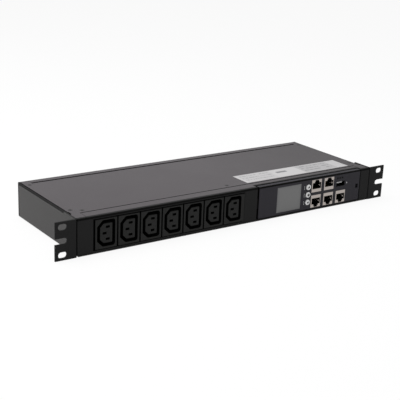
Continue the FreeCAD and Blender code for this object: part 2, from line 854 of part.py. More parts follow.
def outlet_board():
    """Circuit board soldered to the outlets' tails, carrying the relays and the busbars."""
    half_h = f"({OUTLET_BODY_H} / 2)"
    plate = block("outlet_board_plate", (WINDOW_LEFT, WINDOW_RIGHT), (BOARD_FRONT, BOARD_REAR),
                  (minus(half_h), half_h))
    tails = []
    for index in range(OUTLETS):
        for shift, up in CONTACT_SPOTS.values():
            middle = f"({outlet_x(index)} + {shift})"
            half_w = "(tail_wide / 2 + contact_play)"
            half_t = "(tail_thick / 2 + contact_play)"
            tails.append(block(f"tail_hole_{len(tails)}", (f"{middle} - {half_w}", f"{middle} + {half_w}"),
                               (BOARD_FRONT, BOARD_REAR), (f"{up} - {half_t}", f"{up} + {half_t}")))
    keep("outlet_board", less("outlet_board", plate, tails))
    relay_top = "(-busbar_tall)"
    relays = []
    for index in range(OUTLETS):
        middle = outlet_x(index)
        relays.append(block(f"relay_{index}", (f"{middle} - relay_wide / 2", f"{middle} + relay_wide / 2"),
                            (BOARD_REAR, f"{BOARD_REAR} + relay_deep"),
                            (f"{relay_top} - relay_tall", relay_top)))
    group("relays", relays)
    for pole, level in BUSBAR_LEVELS.items():
        middle = f"{level} * busbar_pitch"
        bar = block(f"{pole}_busbar", (f"{WINDOW_LEFT} + busbar_inset", f"{WINDOW_RIGHT} - busbar_inset"),
                    (BOARD_REAR, f"{BOARD_REAR} + busbar_thick"),
                    (f"{middle} - busbar_tall / 2", f"{middle} + busbar_tall / 2"))
        keep(f"{pole}_busbar", bar)
    group("board_brackets", [board_bracket(0), board_bracket(OUTLETS - 2)])


def board_bracket(index):
    """A small angle, between two relays, from the tray's floor up the back of the board."""
    body = new_body(f"board_bracket_{index}")
    leg_back = f"({BOARD_REAR} + sheet)"
    foot_end = f"({BOARD_REAR} + bracket_foot)"
    leg_top = f"({FLOOR} + bracket_leg)"
    profile = [
        (BOARD_REAR, FLOOR), (foot_end, FLOOR), (foot_end, f"{FLOOR} + sheet"),
        (leg_back, f"{FLOOR} + sheet"), (leg_back, leg_top), (BOARD_REAR, leg_top),
    ]
    middle = f"({outlet_x(index)} + {OUTLET_PITCH} / 2)"
    low = f"{middle} - bracket_wide / 2"
    grow(body, f"bracket_fold_{index}", "YZ_Plane", [profile], low, f"{low} + bracket_wide")
    return body


# Controller

BEZEL_LOW = f"({SILL} + bezel_drop)"
BEZEL_HIGH = f"({TOP} - bezel_drop)"
PORT_REAR = CONTROLLER_FRONT
PORT_FRONT = f"({FRONT} + jack_recess)"
USB_X = f"({LAST_JACK_X} - usb_shift)"
LIGHTS_X = f"({LAST_JACK_X} - light_shift)"
BUTTONS = {"button_up": "button_pitch", "button_select": "0", "button_down": "-button_pitch"}


def jack_spots():
    """Column, row side and turn of each jack: the upper row's latches point up, the lower row's down."""
    columns = [f"({JACK_X} + {column} * {JACK_PITCH})" for column in range(JACK_COLUMNS)]
    upper = [(column, JACK_ROW, UPRIGHT) for column in columns[:-1]]
    return upper + [(column, minus(JACK_ROW), HALF_TURN) for column in columns]


def post_spots():
    across = (f"({BEZEL_LEFT} + post_inset)", f"({BEZEL_RIGHT} - post_inset)")
    return [(x, z) for x in across for z in ("post_height", "-post_height")]


def light_spots():
    return [f"({LIGHTS_X} + {step} * light_pitch)" for step in (-1, 0, 1)]


def port_hole(middle_x, middle_z, half_w, half_h):
    return rectangle(f"{middle_x} - {half_w}", f"{middle_x} + {half_w}",
                     f"{middle_z} - {half_h}", f"{middle_z} + {half_h}")


def controller_bezel():
    """Moulded front: plate with a rim turned back on three sides, clips, posts and all its openings."""
    body = new_body("controller_bezel")
    rim_end = f"({FRONT} + bezel_depth)"
    face = rectangle(BEZEL_LEFT, BEZEL_RIGHT, BEZEL_LOW, BEZEL_HIGH)
    grow(body, "bezel_block", "XZ_Plane", [face], FRONT, rim_end)
    front_y = number(FRONT)
    dress(body, "Fillet", "bezel_front_edge", "Radius", "bezel_edge",
          lambda edge: abs(edge.BoundBox.YMax - front_y) < SAME_PLACE)
    hollow = rectangle(f"{BEZEL_LEFT} + bezel_rim", f"{BEZEL_RIGHT} - bezel_rim",
                       BEZEL_LOW, f"{BEZEL_HIGH} - bezel_rim")
    carve(body, "bezel_hollow", "XZ_Plane", [hollow], BEZEL_BACK, rim_end)
    clip_front = f"({PANEL_BACK} + clip_play)"
    half_clip = "(clip_tall / 2)"
    spans = ((f"{OPENING_LEFT} - clip_reach", f"{BEZEL_LEFT} + bezel_rim / 2"),
             (f"{BEZEL_RIGHT} - bezel_rim / 2", f"{OPENING_RIGHT} + clip_reach"))
    for index, (low, high) in enumerate(spans):
        clip = rectangle(low, high, minus(half_clip), half_clip)
        grow(body, f"bezel_clip_{index}", "XZ_Plane", [clip], clip_front, f"{clip_front} + clip_thick")
    posts = [port_hole(across, up, "(post_size / 2)", "(post_size / 2)") for across, up in post_spots()]
    grow(body, "bezel_posts", "XZ_Plane", posts, f"{BEZEL_BACK} - bezel_plate / 2", CONTROLLER_FRONT)
    pins = [port_hole(across, up, "(post_pin / 2)", "(post_pin / 2)") for across, up in post_spots()]
    grow(body, "bezel_pins", "XZ_Plane", pins, BEZEL_BACK, f"{CONTROLLER_REAR} + post_pin_proud")
    half_display = "(display_height / 2)"
    release_x = f"({BEZEL_RIGHT} - release_inset)"
    jack_half = "(jack_size / 2 + jack_play)"
    holes = [rectangle(DISPLAY_LEFT, DISPLAY_RIGHT, minus(half_display), half_display)]
    holes += [circle(BUTTON_X, up, "button_diameter / 2 + button_play") for up in BUTTONS.values()]
    holes += [port_hole(across, up, jack_half, jack_half) for across, up, _ in jack_spots()]
    holes.append(port_hole(USB_X, "usb_rise", "(usb_wide / 2 + jack_play)", "(usb_tall / 2 + jack_play)"))
    light_half = "(light_size / 2 + light_play)"
    holes += [port_hole(across, "light_rise", light_half, light_half) for across in light_spots()]
    holes.append(port_hole(release_x, "0", "(release_wide / 2)", "(release_tall / 2)"))
    carve(body, "bezel_openings", "XZ_Plane", holes, FRONT, BEZEL_BACK)
    keep("controller_bezel", body)


def display():
    """A clear pane let into the bezel, with the display module bonded behind it."""
    half = "(display_height / 2 - pane_play)"
    pane = block("display_pane", (f"{DISPLAY_LEFT} + pane_play", f"{DISPLAY_RIGHT} - pane_play"),
                 (f"{FRONT} + display_recess", BEZEL_BACK), (minus(half), half))
    keep("display_pane", pane)
    frame_half = "(display_height / 2 + display_frame_tall)"
    module = block("display_module", (f"{DISPLAY_LEFT} - display_frame", f"{DISPLAY_RIGHT} + display_frame"),
                   (BEZEL_BACK, f"{BEZEL_BACK} + display_deep"), (minus(frame_half), frame_half))
    keep("display_module", module)


def controller_board():
    """Circuit board staked on the bezel's posts, with the ports, switches and lights on its front."""
    half_h = f"({WALL_TOP} - controller_margin)"
    plate = block("controller_plate", (f"{BEZEL_LEFT} + bezel_rim", f"{BEZEL_RIGHT} - bezel_rim"),
                  (CONTROLLER_FRONT, CONTROLLER_REAR), (minus(half_h), half_h))
    half = "(post_pin / 2 + post_pin_play)"
    holes = [block(f"controller_hole_{index}", (f"{across} - {half}", f"{across} + {half}"),
                   (CONTROLLER_FRONT, CONTROLLER_REAR), (f"{up} - {half}", f"{up} + {half}"))
             for index, (across, up) in enumerate(post_spots())]
    keep("controller_board", less("controller_board", plate, holes))


def buttons():
    """Round caps with side lugs behind the bezel and a stem into the switch, pressed to the rear."""
    cap = "(button_diameter / 2)"
    crown = f"({FRONT} - button_proud)"
    lug_front = f"({BEZEL_BACK} + button_play)"
    lug_back = f"({lug_front} + button_lug_thick)"
    stem_half = "(button_stem / 2)"
    stem_end = f"({CONTROLLER_FRONT} - switch_deep + switch_well - button_travel - button_play)"
    form = new_body("button_form")
    grow(form, "button_cap", "XZ_Plane", [circle("0", "0", cap)], crown, lug_front)
    lugs = port_hole("0", "0", f"({cap} + button_lug)", f"({cap} + button_lug / 2)")
    grow(form, "button_lugs", "XZ_Plane", [lugs], lug_front, lug_back)
    grow(form, "button_shaft", "XZ_Plane", [port_hole("0", "0", stem_half, stem_half)], lug_front, stem_end)
    switches = []
    front = f"({CONTROLLER_FRONT} - switch_deep)"
    half = "(switch_size / 2)"
    well_half = f"({stem_half} + button_stem_play)"
    for name, up in BUTTONS.items():
        keep(name, copy_of(form, name, BUTTON_X, "0", up))
        case = block(f"{name}_switch_case", (f"{BUTTON_X} - {half}", f"{BUTTON_X} + {half}"),
                     (front, CONTROLLER_FRONT), (f"{up} - {half}", f"{up} + {half}"))
        well = block(f"{name}_switch_well", (f"{BUTTON_X} - {well_half}", f"{BUTTON_X} + {well_half}"),
                     (front, f"{front} + switch_well"), (f"{up} - {well_half}", f"{up} + {well_half}"))
        switches.append(less(f"{name}_switch", case, [well]))
    group("button_switches", switches)


def plug_outline(low):
    """The stepped mouth of a network jack: plug, key and latch channels above each other."""
    step = f"({low} + plug_tall)"
    ledge = f"({step} + key_tall)"
    crest = f"({ledge} + latch_tall)"
    right = [("plug_wide / 2", low), ("plug_wide / 2", step), ("key_wide / 2", step),
             ("key_wide / 2", ledge), ("latch_wide / 2", ledge), ("latch_wide / 2", crest)]
    return right + [(minus(across), up) for across, up in reversed(right)]


def network_jacks():
    """Folded tinned shields, each over a moulded insert with eight sprung contacts."""
    half = "(jack_size / 2)"
    inside = f"({half} - jack_skin)"
    mouth_low = f"(jack_bar - {half})"
    shield = new_body("jack_shield_form")
    outer_square = rectangle(minus(half), half, minus(half), half)
    inner_square = rectangle(minus(inside), inside, minus(inside), inside)
    mouth = plug_outline(mouth_low)
    insert_front = f"({PORT_FRONT} + jack_skin)"
    grow(shield, "shield_box", "XZ_Plane", [outer_square], PORT_FRONT, PORT_REAR)
    carve(shield, "shield_hollow", "XZ_Plane", [inner_square], insert_front, PORT_REAR)
    carve(shield, "shield_mouth", "XZ_Plane", [mouth], PORT_FRONT, insert_front)
    insert = new_body("jack_insert_form")
    grow(insert, "insert_block", "XZ_Plane", [inner_square], insert_front, PORT_REAR)
    carve(insert, "insert_mouth", "XZ_Plane", [mouth], insert_front, f"{insert_front} + plug_deep")
    strips = []
    for index in range(JACK_CONTACTS):
        strip = doc.addObject("Part::Box", f"jack_pin_form_{index}")
        bind(strip, "Length", "pin_wide")
        bind(strip, "Width", "pin_long")
        bind(strip, "Height", "pin_thick")
        middle = f"({index} - {(JACK_CONTACTS - 1) / 2}) * pin_pitch"
        place(strip, f"{middle} - pin_wide / 2", f"{insert_front} + pin_setback", f"{mouth_low} + pin_play",
              FreeCAD.Rotation(FreeCAD.Vector(1, 0, 0), 1))
        bind(strip, "Placement.Rotation.Angle", "pin_angle")
        strips.append(strip)
    pins = doc.addObject("Part::Compound", "jack_pin_row_form")
    pins.Links = strips
    inserts = []
    rows = []
    for index, (across, up, turn) in enumerate(jack_spots(), 1):
        keep(f"jack_shield_{index}", copy_of(shield, f"jack_shield_{index}", across, "0", up, turn))
        inserts.append(copy_of(insert, f"jack_insert_{index}", across, "0", up, turn))
        rows.append(copy_of(pins, f"jack_pin_row_{index}", across, "0", up, turn))
    group("jack_inserts", inserts)
    group("jack_pins", rows)


def data_port():
    """A folded USB type A shell with a moulded tongue on a base that closes its rear."""
    half_w = "(usb_wide / 2)"
    half_h = "(usb_tall / 2)"
    inner_w = f"({half_w} - usb_skin)"
    inner_h = f"({half_h} - usb_skin)"
    shell = new_body("usb_shell")
    grow(shell, "usb_sleeve", "XZ_Plane",
         [port_hole(USB_X, "usb_rise", half_w, half_h), port_hole(USB_X, "usb_rise", inner_w, inner_h)],
         PORT_FRONT, PORT_REAR)
    keep("usb_shell", shell)
    tongue = new_body("usb_tongue")
    base_front = f"({PORT_REAR} - tongue_base)"
    base = port_hole(USB_X, "usb_rise", inner_w, inner_h)
    grow(tongue, "tongue_base_block", "XZ_Plane", [base], base_front, PORT_REAR)
    blade_z = f"(usb_rise + {inner_h} - tongue_thick)"
    blade = port_hole(USB_X, blade_z, "(tongue_wide / 2)", "(tongue_thick / 2)")
    grow(tongue, "tongue_blade", "XZ_Plane", [blade], f"{base_front} - tongue_long", PORT_REAR)
    keep("usb_tongue", tongue)


def status_lights():
    """Three square light pipes from the board to the bezel's face."""
    half = "(light_size / 2)"
    pipes = [block(f"light_pipe_{index}", (f"{across} - {half}", f"{across} + {half}"),
                   (FRONT, CONTROLLER_FRONT), (f"light_rise - {half}", f"light_rise + {half}"))
             for index, across in enumerate(light_spots())]
    group("status_lights", pipes)


# Inlet, wiring and supply

BLADE_SPOTS = {
    "line": ("-blade_spread / 2", "-blade_offset / 2"),
    "neutral": ("blade_spread / 2", "-blade_offset / 2"),
    "earth": ("0", "blade_offset / 2"),
}


def power_inlet():
    """A moulded three-blade inlet: flange outside the rear panel, shroud and two catches inside it."""
    body = new_body("power_inlet")
    half_w = "(inlet_wide / 2)"
    half_h = "(inlet_tall / 2)"
    shroud_w = f"({half_w} + inlet_wall)"
    shroud_h = f"({half_h} + inlet_wall)"
    flange_w = f"({shroud_w} + inlet_lip)"
    flange_h = f"({shroud_h} + inlet_lip)"

    def oblong(wide, tall):
        return rectangle(f"{INLET_X} - {wide}", f"{INLET_X} + {wide}", minus(tall), tall, "inlet_round")

    shroud = port_hole(INLET_X, "0", shroud_w, shroud_h)
    grow(body, "inlet_shroud", "XZ_Plane", [shroud], INLET_INNER, INLET_FACE)
    grow(body, "inlet_flange_plate", "XZ_Plane", [oblong(flange_w, flange_h)], REAR, INLET_FACE)
    catch_rear = f"({REAR_INNER} - inlet_play)"
    catch_w = f"({shroud_w} + inlet_catch)"
    catches = port_hole(INLET_X, "0", catch_w, "(inlet_catch_tall / 2)")
    grow(body, "inlet_catches", "XZ_Plane", [catches], f"{catch_rear} - inlet_catch_long", catch_rear)
    cavity_floor = f"({INLET_FACE} - inlet_depth)"
    carve(body, "inlet_cavity", "XZ_Plane", [oblong(half_w, half_h)], cavity_floor, INLET_FACE)
    slots = []
    blades = []
    wide = "(blade_wide / 2)"
    thick = "(blade_thick / 2)"
    for pole, (shift, up) in BLADE_SPOTS.items():
        middle = f"({INLET_X} + {shift})"
        slots.append(rectangle(f"{middle} - {wide} - blade_play", f"{middle} + {wide} + blade_play",
                               f"{up} - {thick} - blade_play", f"{up} + {thick} + blade_play"))
        blades.append(block(f"{pole}_blade", (f"{middle} - {wide}", f"{middle} + {wide}"),
                            (f"{INLET_INNER} - blade_tab", f"{INLET_FACE} - blade_recess"),
                            (f"{up} - {thick}", f"{up} + {thick}")))
    carve(body, "inlet_blade_slots", "XZ_Plane", slots, INLET_INNER, cavity_floor)
    keep("power_inlet", body)
    group("inlet_pins", blades)


LINK_MITRE = 0.4142


def wires():
    """Insulated flat copper links from the inlet's tabs to the busbars, each with one slant of 45 degrees."""
    bus_rear = f"({BOARD_REAR} + busbar_thick)"
    tab = f"({INLET_INNER} - blade_tab)"
    half = "(link_thick / 2)"
    for pole, (shift, up) in BLADE_SPOTS.items():
        bar_z = f"({BUSBAR_LEVELS[pole]} * busbar_pitch)"
        side = 1 if number(bar_z) > number(up) else -1
        run = f"({side} * ({bar_z} - ({up})) / 2)"
        lean = f"({side * LINK_MITRE} * {half})"
        start = f"(({tab} + {bus_rear}) / 2 + {run})"
        end = f"(({tab} + {bus_rear}) / 2 - {run})"
        profile = [
            (tab, f"{up} - {half}"),
            (f"{start} - {lean}", f"{up} - {half}"),
            (f"{end} - {lean}", f"{bar_z} - {half}"),
            (bus_rear, f"{bar_z} - {half}"),
            (bus_rear, f"{bar_z} + {half}"),
            (f"{end} + {lean}", f"{bar_z} + {half}"),
            (f"{start} + {lean}", f"{up} + {half}"),
            (tab, f"{up} + {half}"),
        ]
        middle = f"({INLET_X} + {shift})"
        body = new_body(f"{pole}_wire")
        grow(body, f"{pole}_wire_run", "YZ_Plane", [profile],
             f"{middle} - link_wide / 2", f"{middle} + link_wide / 2")
        keep(f"{pole}_wire", body)


def supply():
    """A small board on standoffs, with its transformer and capacitor, and the cable between the boards."""
    middle = f"(({BEZEL_LEFT} + {BEZEL_RIGHT}) / 2)"
    left = f"({middle} - supply_wide / 2)"
    right = f"({middle} + supply_wide / 2)"
    back = "(supply_front + supply_deep)"
    low = f"({FLOOR} + standoff)"
    high = f"({low} + board)"
    keep("supply_board", block("supply_board", (left, right), ("supply_front", back), (low, high)))
    corners = [(x, y) for x in (f"{left} + standoff_inset", f"{right} - standoff_inset")
               for y in ("supply_front + standoff_inset", f"{back} - standoff_inset")]
    standoffs = [hexagon(f"standoff_{index}", "standoff_radius", "standoff", across, deep, FLOOR)
                 for index, (across, deep) in enumerate(corners)]
    group("supply_standoffs", standoffs)
    core_x = f"({left} + transformer_inset)"
    core_y = "(supply_front + (supply_deep - transformer_deep) / 2)"
    core = block("supply_transformer", (core_x, f"{core_x} + transformer_wide"),
                 (core_y, f"{core_y} + transformer_deep"), (high, f"{high} + transformer_tall"))
    keep("supply_transformer", core)
    film_x = f"({right} - capacitor_inset)"
    film_y = "(supply_front + (supply_deep - capacitor_deep) / 2)"
    film = block("supply_capacitor", (film_x, f"{film_x} + capacitor_wide"),
                 (film_y, f"{film_y} + capacitor_deep"), (high, f"{high} + capacitor_tall"))
    keep("supply_capacitor", film)
    signal_ribbon()


def signal_ribbon():
    """Flat cable folded across the gap between the switching board and the controller's board."""
    body = new_body("signal_ribbon")
    near = f"({WINDOW_RIGHT} - ribbon_inset)"
    far = f"({BEZEL_LEFT} + bezel_rim + ribbon_inset)"
    loop = f"({BOARD_REAR} + ribbon_reach)"
    plan = [
        (near, BOARD_REAR),
        (f"{near} + ribbon_thick", BOARD_REAR),
        (f"{near} + ribbon_thick", f"{loop} - ribbon_thick"),
        (f"{far} - ribbon_thick", f"{loop} - ribbon_thick"),
        (f"{far} - ribbon_thick", CONTROLLER_REAR),
        (far, CONTROLLER_REAR),
        (far, loop),
        (near, loop),
    ]
    grow(body, "ribbon_loop", "XY_Plane", [plan], "-ribbon_tall / 2", "ribbon_tall / 2")
    keep("signal_ribbon", body)


def cover_label():
    """A thin paper sticker on the lid, behind its front seam and above the controller."""
    front = f"({FRONT} + front_flange + cover_gap + label_margin)"
    keep("cover_label", block("cover_label", (OPENING_LEFT, f"{OPENING_LEFT} + label_width"),
                              (front, f"{front} + label_depth"), (TOP, f"{TOP} + label_thick")))


base_tray()
front_panel()
rear_panel()
top_cover()
rails()
gaskets()
rack_ear("ear_left", -1)
rack_ear("ear_right", 1)
outlets()
outlet_carrier()
outlet_board()
controller_bezel()
display()
controller_board()
buttons()
network_jacks()
data_port()
status_lights()
power_inlet()
wires()
supply()
cover_label()
cover_screws()
doc.recompute()

# Every feature has to stand, and every cut has to take something away, before anything is written
for thing in doc.Objects:
    if "Invalid" in thing.State or "Error" in thing.State:
        raise RuntimeError(f"{thing.Name} failed: {thing.State}")
    if thing.TypeId == "PartDesign::Pocket" and thing.Shape.Volume >= thing.BaseFeature.Shape.Volume:
        raise RuntimeError(f"{thing.Name} cuts nothing")
for name, thing in pieces.items():
    if thing.Shape.isNull() or not thing.Shape.isValid():
        raise RuntimeError(f"{name} has no valid shape")

os.makedirs("parts", exist_ok=True)
for name, thing in pieces.items():
    thing.Shape.exportStep(f"parts/{name}.step")
print(len(pieces), "nodes written")
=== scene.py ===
import math

import bmesh
import bpy
import numpy as np
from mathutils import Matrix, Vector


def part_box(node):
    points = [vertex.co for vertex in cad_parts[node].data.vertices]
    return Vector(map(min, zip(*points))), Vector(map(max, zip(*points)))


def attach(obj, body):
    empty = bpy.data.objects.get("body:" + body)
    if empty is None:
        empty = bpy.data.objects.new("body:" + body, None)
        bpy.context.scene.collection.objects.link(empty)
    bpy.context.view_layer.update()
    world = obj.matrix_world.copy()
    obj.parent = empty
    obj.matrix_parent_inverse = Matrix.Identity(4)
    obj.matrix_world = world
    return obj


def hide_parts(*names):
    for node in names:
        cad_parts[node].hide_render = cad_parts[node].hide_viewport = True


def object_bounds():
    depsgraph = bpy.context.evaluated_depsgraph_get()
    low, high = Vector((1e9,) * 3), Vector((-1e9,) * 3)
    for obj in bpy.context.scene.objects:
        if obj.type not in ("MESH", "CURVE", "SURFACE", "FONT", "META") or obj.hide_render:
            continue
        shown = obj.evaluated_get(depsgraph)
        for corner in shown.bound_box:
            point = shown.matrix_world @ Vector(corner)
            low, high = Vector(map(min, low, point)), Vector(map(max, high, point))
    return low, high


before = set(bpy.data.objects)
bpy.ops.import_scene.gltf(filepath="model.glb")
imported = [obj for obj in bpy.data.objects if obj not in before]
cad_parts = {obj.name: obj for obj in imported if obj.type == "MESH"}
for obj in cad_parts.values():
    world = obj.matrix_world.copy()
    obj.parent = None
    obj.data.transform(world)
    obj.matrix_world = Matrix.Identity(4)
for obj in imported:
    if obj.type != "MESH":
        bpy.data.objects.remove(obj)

cad_box = [list(corner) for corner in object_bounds()]


# Case: tray, panels, lid and rack ears
# Mild steel sheet, punched, folded and powder coated in a charcoal satin whose fine texture hides the bends.
# The faces of panel and ears have a second coat in flat black whose darker colour is painted shade, and the
# cut edges, ledges and seams are painted shade in deep black.

class Signal:
    """One socket of a material's nodes: operators on it add Math nodes."""

    def __init__(self, tree, socket):
        self.tree = tree
        self.socket = socket

    def node(self, kind, settings=None, inputs=None, output=0):
        """Adds a node of that type, sets its settings, then fills its sockets with values or links."""
        made = self.tree.nodes.new(kind)
        for name, value in (settings or {}).items():
            setattr(made, name, value)
        for name, value in (inputs or {}).items():
            if isinstance(value, Signal):
                self.tree.links.new(value.socket, made.inputs[name])
            else:
                made.inputs[name].default_value = value
        return Signal(self.tree, made.outputs[output])

    def other(self, output):
        """Another output of the node that this signal comes from."""
        return Signal(self.tree, self.socket.node.outputs[output])

    def feeds(self, socket, node="Principled BSDF"):
        """Links this signal to a socket of a named node, by default the main shader."""
        self.tree.links.new(self.socket, self.tree.nodes[node].inputs[socket])

    def math(self, operation, *values):
        """A Math node on these values, or on this signal alone where none is given."""
        return self.node("ShaderNodeMath", {"operation": operation}, dict(enumerate(values or (self,))))

    def __add__(self, value):
        return self.math("ADD", self, value)

    __radd__ = __add__

    def __sub__(self, value):
        return self.math("SUBTRACT", self, value)

    def __rsub__(self, value):
        return self.math("SUBTRACT", value, self)

    def __mul__(self, value):
        return self.math("MULTIPLY", self, value)

    __rmul__ = __mul__

    def __pow__(self, value):
        return self.math("POWER", self, value)

    def __abs__(self):
        return self.math("ABSOLUTE")

    def __or__(self, value):
        return self.math("MAXIMUM", self, value)

    def __gt__(self, value):
        return self.math("GREATER_THAN", self, value)

    def __lt__(self, value):
        return self.math("LESS_THAN", self, value)


def grey(level):
    """A neutral colour of that level."""
    return (level, level, level, 1)


def new_finish(name, constants):
    """A material whose main shader has these constant sockets, with its object coordinates."""
    material = bpy.data.materials.new(name)
    material.use_nodes = True
    tree = material.node_tree
    for socket, value in constants.items():
        tree.nodes["Principled BSDF"].inputs[socket].default_value = value
    return material, Signal(tree, tree.nodes.new("ShaderNodeTexCoord").outputs["Object"])


def axes_of(place):
    """X, Y and Z of a place."""
    x = place.node("ShaderNodeSeparateXYZ", None, {0: place})
    return x, x.other("Y"), x.other("Z")


def within(value, limits):
    """1 where a value lies between two limits."""
    return (value > limits[0]) * (value < limits[1])


def spread(limits, share):
    """A value that goes from the first limit to the second as share goes from 0 to 1."""
    return limits[0] + (limits[1] - limits[0]) * share


def noise(place, scale, detail=2.0):
    """Soft noise with that many lumps to the metre."""
    return place.node("ShaderNodeTexNoise", None, {"Vector": place, "Scale": scale, "Detail": detail})


def blend_colours(place, share, first, second):
    """The first colour where share is 0 and the second where it is 1."""
    return place.node("ShaderNodeMix", {"data_type": "RGBA"}, {0: share, 6: first, 7: second}, output=2)


CLOUD_SCALE, CLOUD_SHARE, CLOUD_DULLING = 24.0, 0.6, 0.06
GRAIN_DETAIL = 3.0


def grain(place, shader, dark, pale, rough, scale, height):
    """Broad noise moves a shader's colour and sheen, and a fine grain is its bump."""
    cloud = noise(place, CLOUD_SCALE)
    fine = noise(place, scale, GRAIN_DETAIL)
    tone = CLOUD_SHARE * cloud + (1 - CLOUD_SHARE) * fine
    blend_colours(place, tone, dark, pale).feeds("Base Color", shader)
    (spread(rough, fine) + CLOUD_DULLING * cloud).feeds("Roughness", shader)
    bump = place.node("ShaderNodeBump", None, {"Strength": 1.0, "Distance": height, "Height": fine})
    bump.feeds("Normal", shader)


def grained(name, specular=0.5, **finish):
    """A coat or moulding with one grained shader."""
    material, place = new_finish(name, {"Specular IOR Level": specular})
    grain(place, "Principled BSDF", **finish)
    return material


def overcoat(material, pick, specular, **finish):
    """A grained finish over all that a material has: pick turns X, Y and Z into 1 where it shows."""
    tree = material.node_tree
    place = Signal(tree, tree.nodes["Texture Coordinate"].outputs["Object"])
    share = pick(*axes_of(place))
    under = Signal(tree, tree.nodes["Material Output"].inputs["Surface"].links[0].from_socket)
    name = f"coat_{len(tree.nodes)}"
    over = place.node("ShaderNodeBsdfPrincipled", {"name": name}, {"Specular IOR Level": specular})
    grain(place, name, **finish)
    both = place.node("ShaderNodeMixShader", None, {0: share, 1: under, 2: over})
    both.feeds("Surface", "Material Output")
    return material


def finish_nodes(material, *names):
    """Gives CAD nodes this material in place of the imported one."""
    for name in names:
        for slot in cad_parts[name].material_slots:
            slot.material = material


SATIN = dict(dark=(0.0275, 0.0215, 0.0258, 1), pale=(0.0355, 0.0285, 0.0335, 1), rough=(0.34, 0.46),
             scale=1400.0, height=0.00004, specular=0.29)
TRAY_SATIN = dict(SATIN, dark=(0.0215, 0.0198, 0.0195, 1), pale=(0.0285, 0.0265, 0.026, 1))
# The flat coat: lower sheen as the faces' finish, and a darker colour as painted shade.
SHADED_FLAT = dict(SATIN, dark=grey(0.011), pale=grey(0.0157), rough=(0.45, 0.57), specular=0.06)
# Deep black: painted shade in gaps, seams, recesses and on cut edges.
SHADE_BLACK = dict(dark=grey(0.0015), pale=grey(0.003), rough=(0.6, 0.7), scale=3000.0, height=0.00001,
                  specular=0.05)
EDGE_BAND = 0.0001
FOLD_WRAP = 0.0024
FOLD_LINE = (0.0192, 0.0215)
FOLD_FRONT = -0.0012
NOTCH_LEFT = 0.0286
NOTCH_WRAP = 0.0088
# A short slit painted in black as shade beside each front corner of the lid, not cut.
SLIT_ACROSS = (0.212, 0.214)
SLIT_ALONG = (0.017, 0.024)
EAR_DEPTH = -0.0008
EAR_SEAM = 0.2163
EAR_BEND = 0.0015
# Painted shade: a share of the flat coat over the satin, rising towards the right end.
RIGHT_SHADE_FROM, RIGHT_SHADE_TO, RIGHT_SHADE_SHARE = 0.02, 0.21, 0.3
lid_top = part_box("top_cover")[1].z
ear_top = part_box("ear_left")[1].z
tray_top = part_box("base_tray")[1].z


def right_end_shade(x):
    """A share of the flat coat as painted shade, rising towards the right end."""
    return x.node("ShaderNodeMapRange", None, {"Value": x, "From Min": RIGHT_SHADE_FROM, "From Max": RIGHT_SHADE_TO,
                                               "To Min": 0.0, "To Max": RIGHT_SHADE_SHARE})


def on_tongue_ends(x, y, z):
    """1 just over the front ends of the lid's tongues, and a share of painted shade elsewhere."""
    return (y < FOLD_WRAP) | right_end_shade(x)


def on_lid_edge_shade(x, y, z):
    """1 on the lid's cut edges and on a short slit beside each front corner, both painted shade."""
    return (z < lid_top - EDGE_BAND) | within(abs(x), SLIT_ACROSS) * within(y, SLIT_ALONG)


def on_panel_front(x, y, z):
    """1 on the face, over its fold and along the notch above the controller, and a share of painted shade
    elsewhere.
    """
    return (y < FOLD_WRAP) | (x > NOTCH_LEFT) * (y < NOTCH_WRAP) | right_end_shade(x)


def on_fold_shadow(x, y, z):
    """1 on a thin line of painted shadow along the top of the face, over the lower half of its fold."""
    return within(z, FOLD_LINE) * (y < FOLD_FRONT)


def on_ear_front(x, y, z):
    """1 on the ear's face and top edge."""
    return (y < EAR_DEPTH) | (z > ear_top - EDGE_BAND)


def on_ear_seam_shade(x, y, z):
    """1 on the ear's bend beside the panel, painted shade of the seam."""
    return (abs(x) < EAR_SEAM) * (y < EAR_BEND)


def on_ledge_shade(x, y, z):
    """1 on the upper side of the tray's ledges, painted shade under the lid."""
    return z > tray_top - EDGE_BAND


finish_nodes(grained("charcoal_satin_coat", **SATIN), "rear_panel")
tray_coat = grained("shade_ledged_satin", **TRAY_SATIN)
finish_nodes(overcoat(tray_coat, on_ledge_shade, **SHADE_BLACK), "base_tray")
lid_coat = overcoat(grained("shade_edged_satin", **SATIN), on_tongue_ends, **SHADED_FLAT)
finish_nodes(overcoat(lid_coat, on_lid_edge_shade, **SHADE_BLACK), "top_cover")
panel_coat = overcoat(grained("shade_faced_panel", **SATIN), on_panel_front, **SHADED_FLAT)
finish_nodes(overcoat(panel_coat, on_fold_shadow, **SHADE_BLACK), "front_panel")
ear_coat = overcoat(grained("shade_faced_ear", **TRAY_SATIN), on_ear_front, **SHADED_FLAT)
finish_nodes(overcoat(ear_coat, on_ear_seam_shade, **SHADE_BLACK), "ear_left", "ear_right")


# Rails, outlet carrier, board brackets and standoffs
# Steel strip and bar inside the case: the carrier and the rails, which take the lid's screws, are blackened
# so dark that they are painted shade in the seams and gaps where they show.
# The rest is zinc plated, with a pale spangle and faint rolling lines along the strip.

BLACKENED_SHADE = dict(dark=grey(0.003), pale=grey(0.006), rough=(0.7, 0.8), scale=1600.0, height=0.00003,
                 specular=0.05)
finish_nodes(grained("blackened_shade_steel", **BLACKENED_SHADE), "front_rail", "rear_rail", "outlet_carrier")
ZINC_DARK, ZINC_PALE = (0.5, 0.51, 0.52, 1), (0.7, 0.71, 0.72, 1)
ZINC_ROUGH = (0.3, 0.45)
ROLL_STRETCH, ROLL_SCALE = (0.05, 1.0, 1.0), 1800.0
SPANGLE_SCALE, SPANGLE_SHARE = 260.0, 0.7


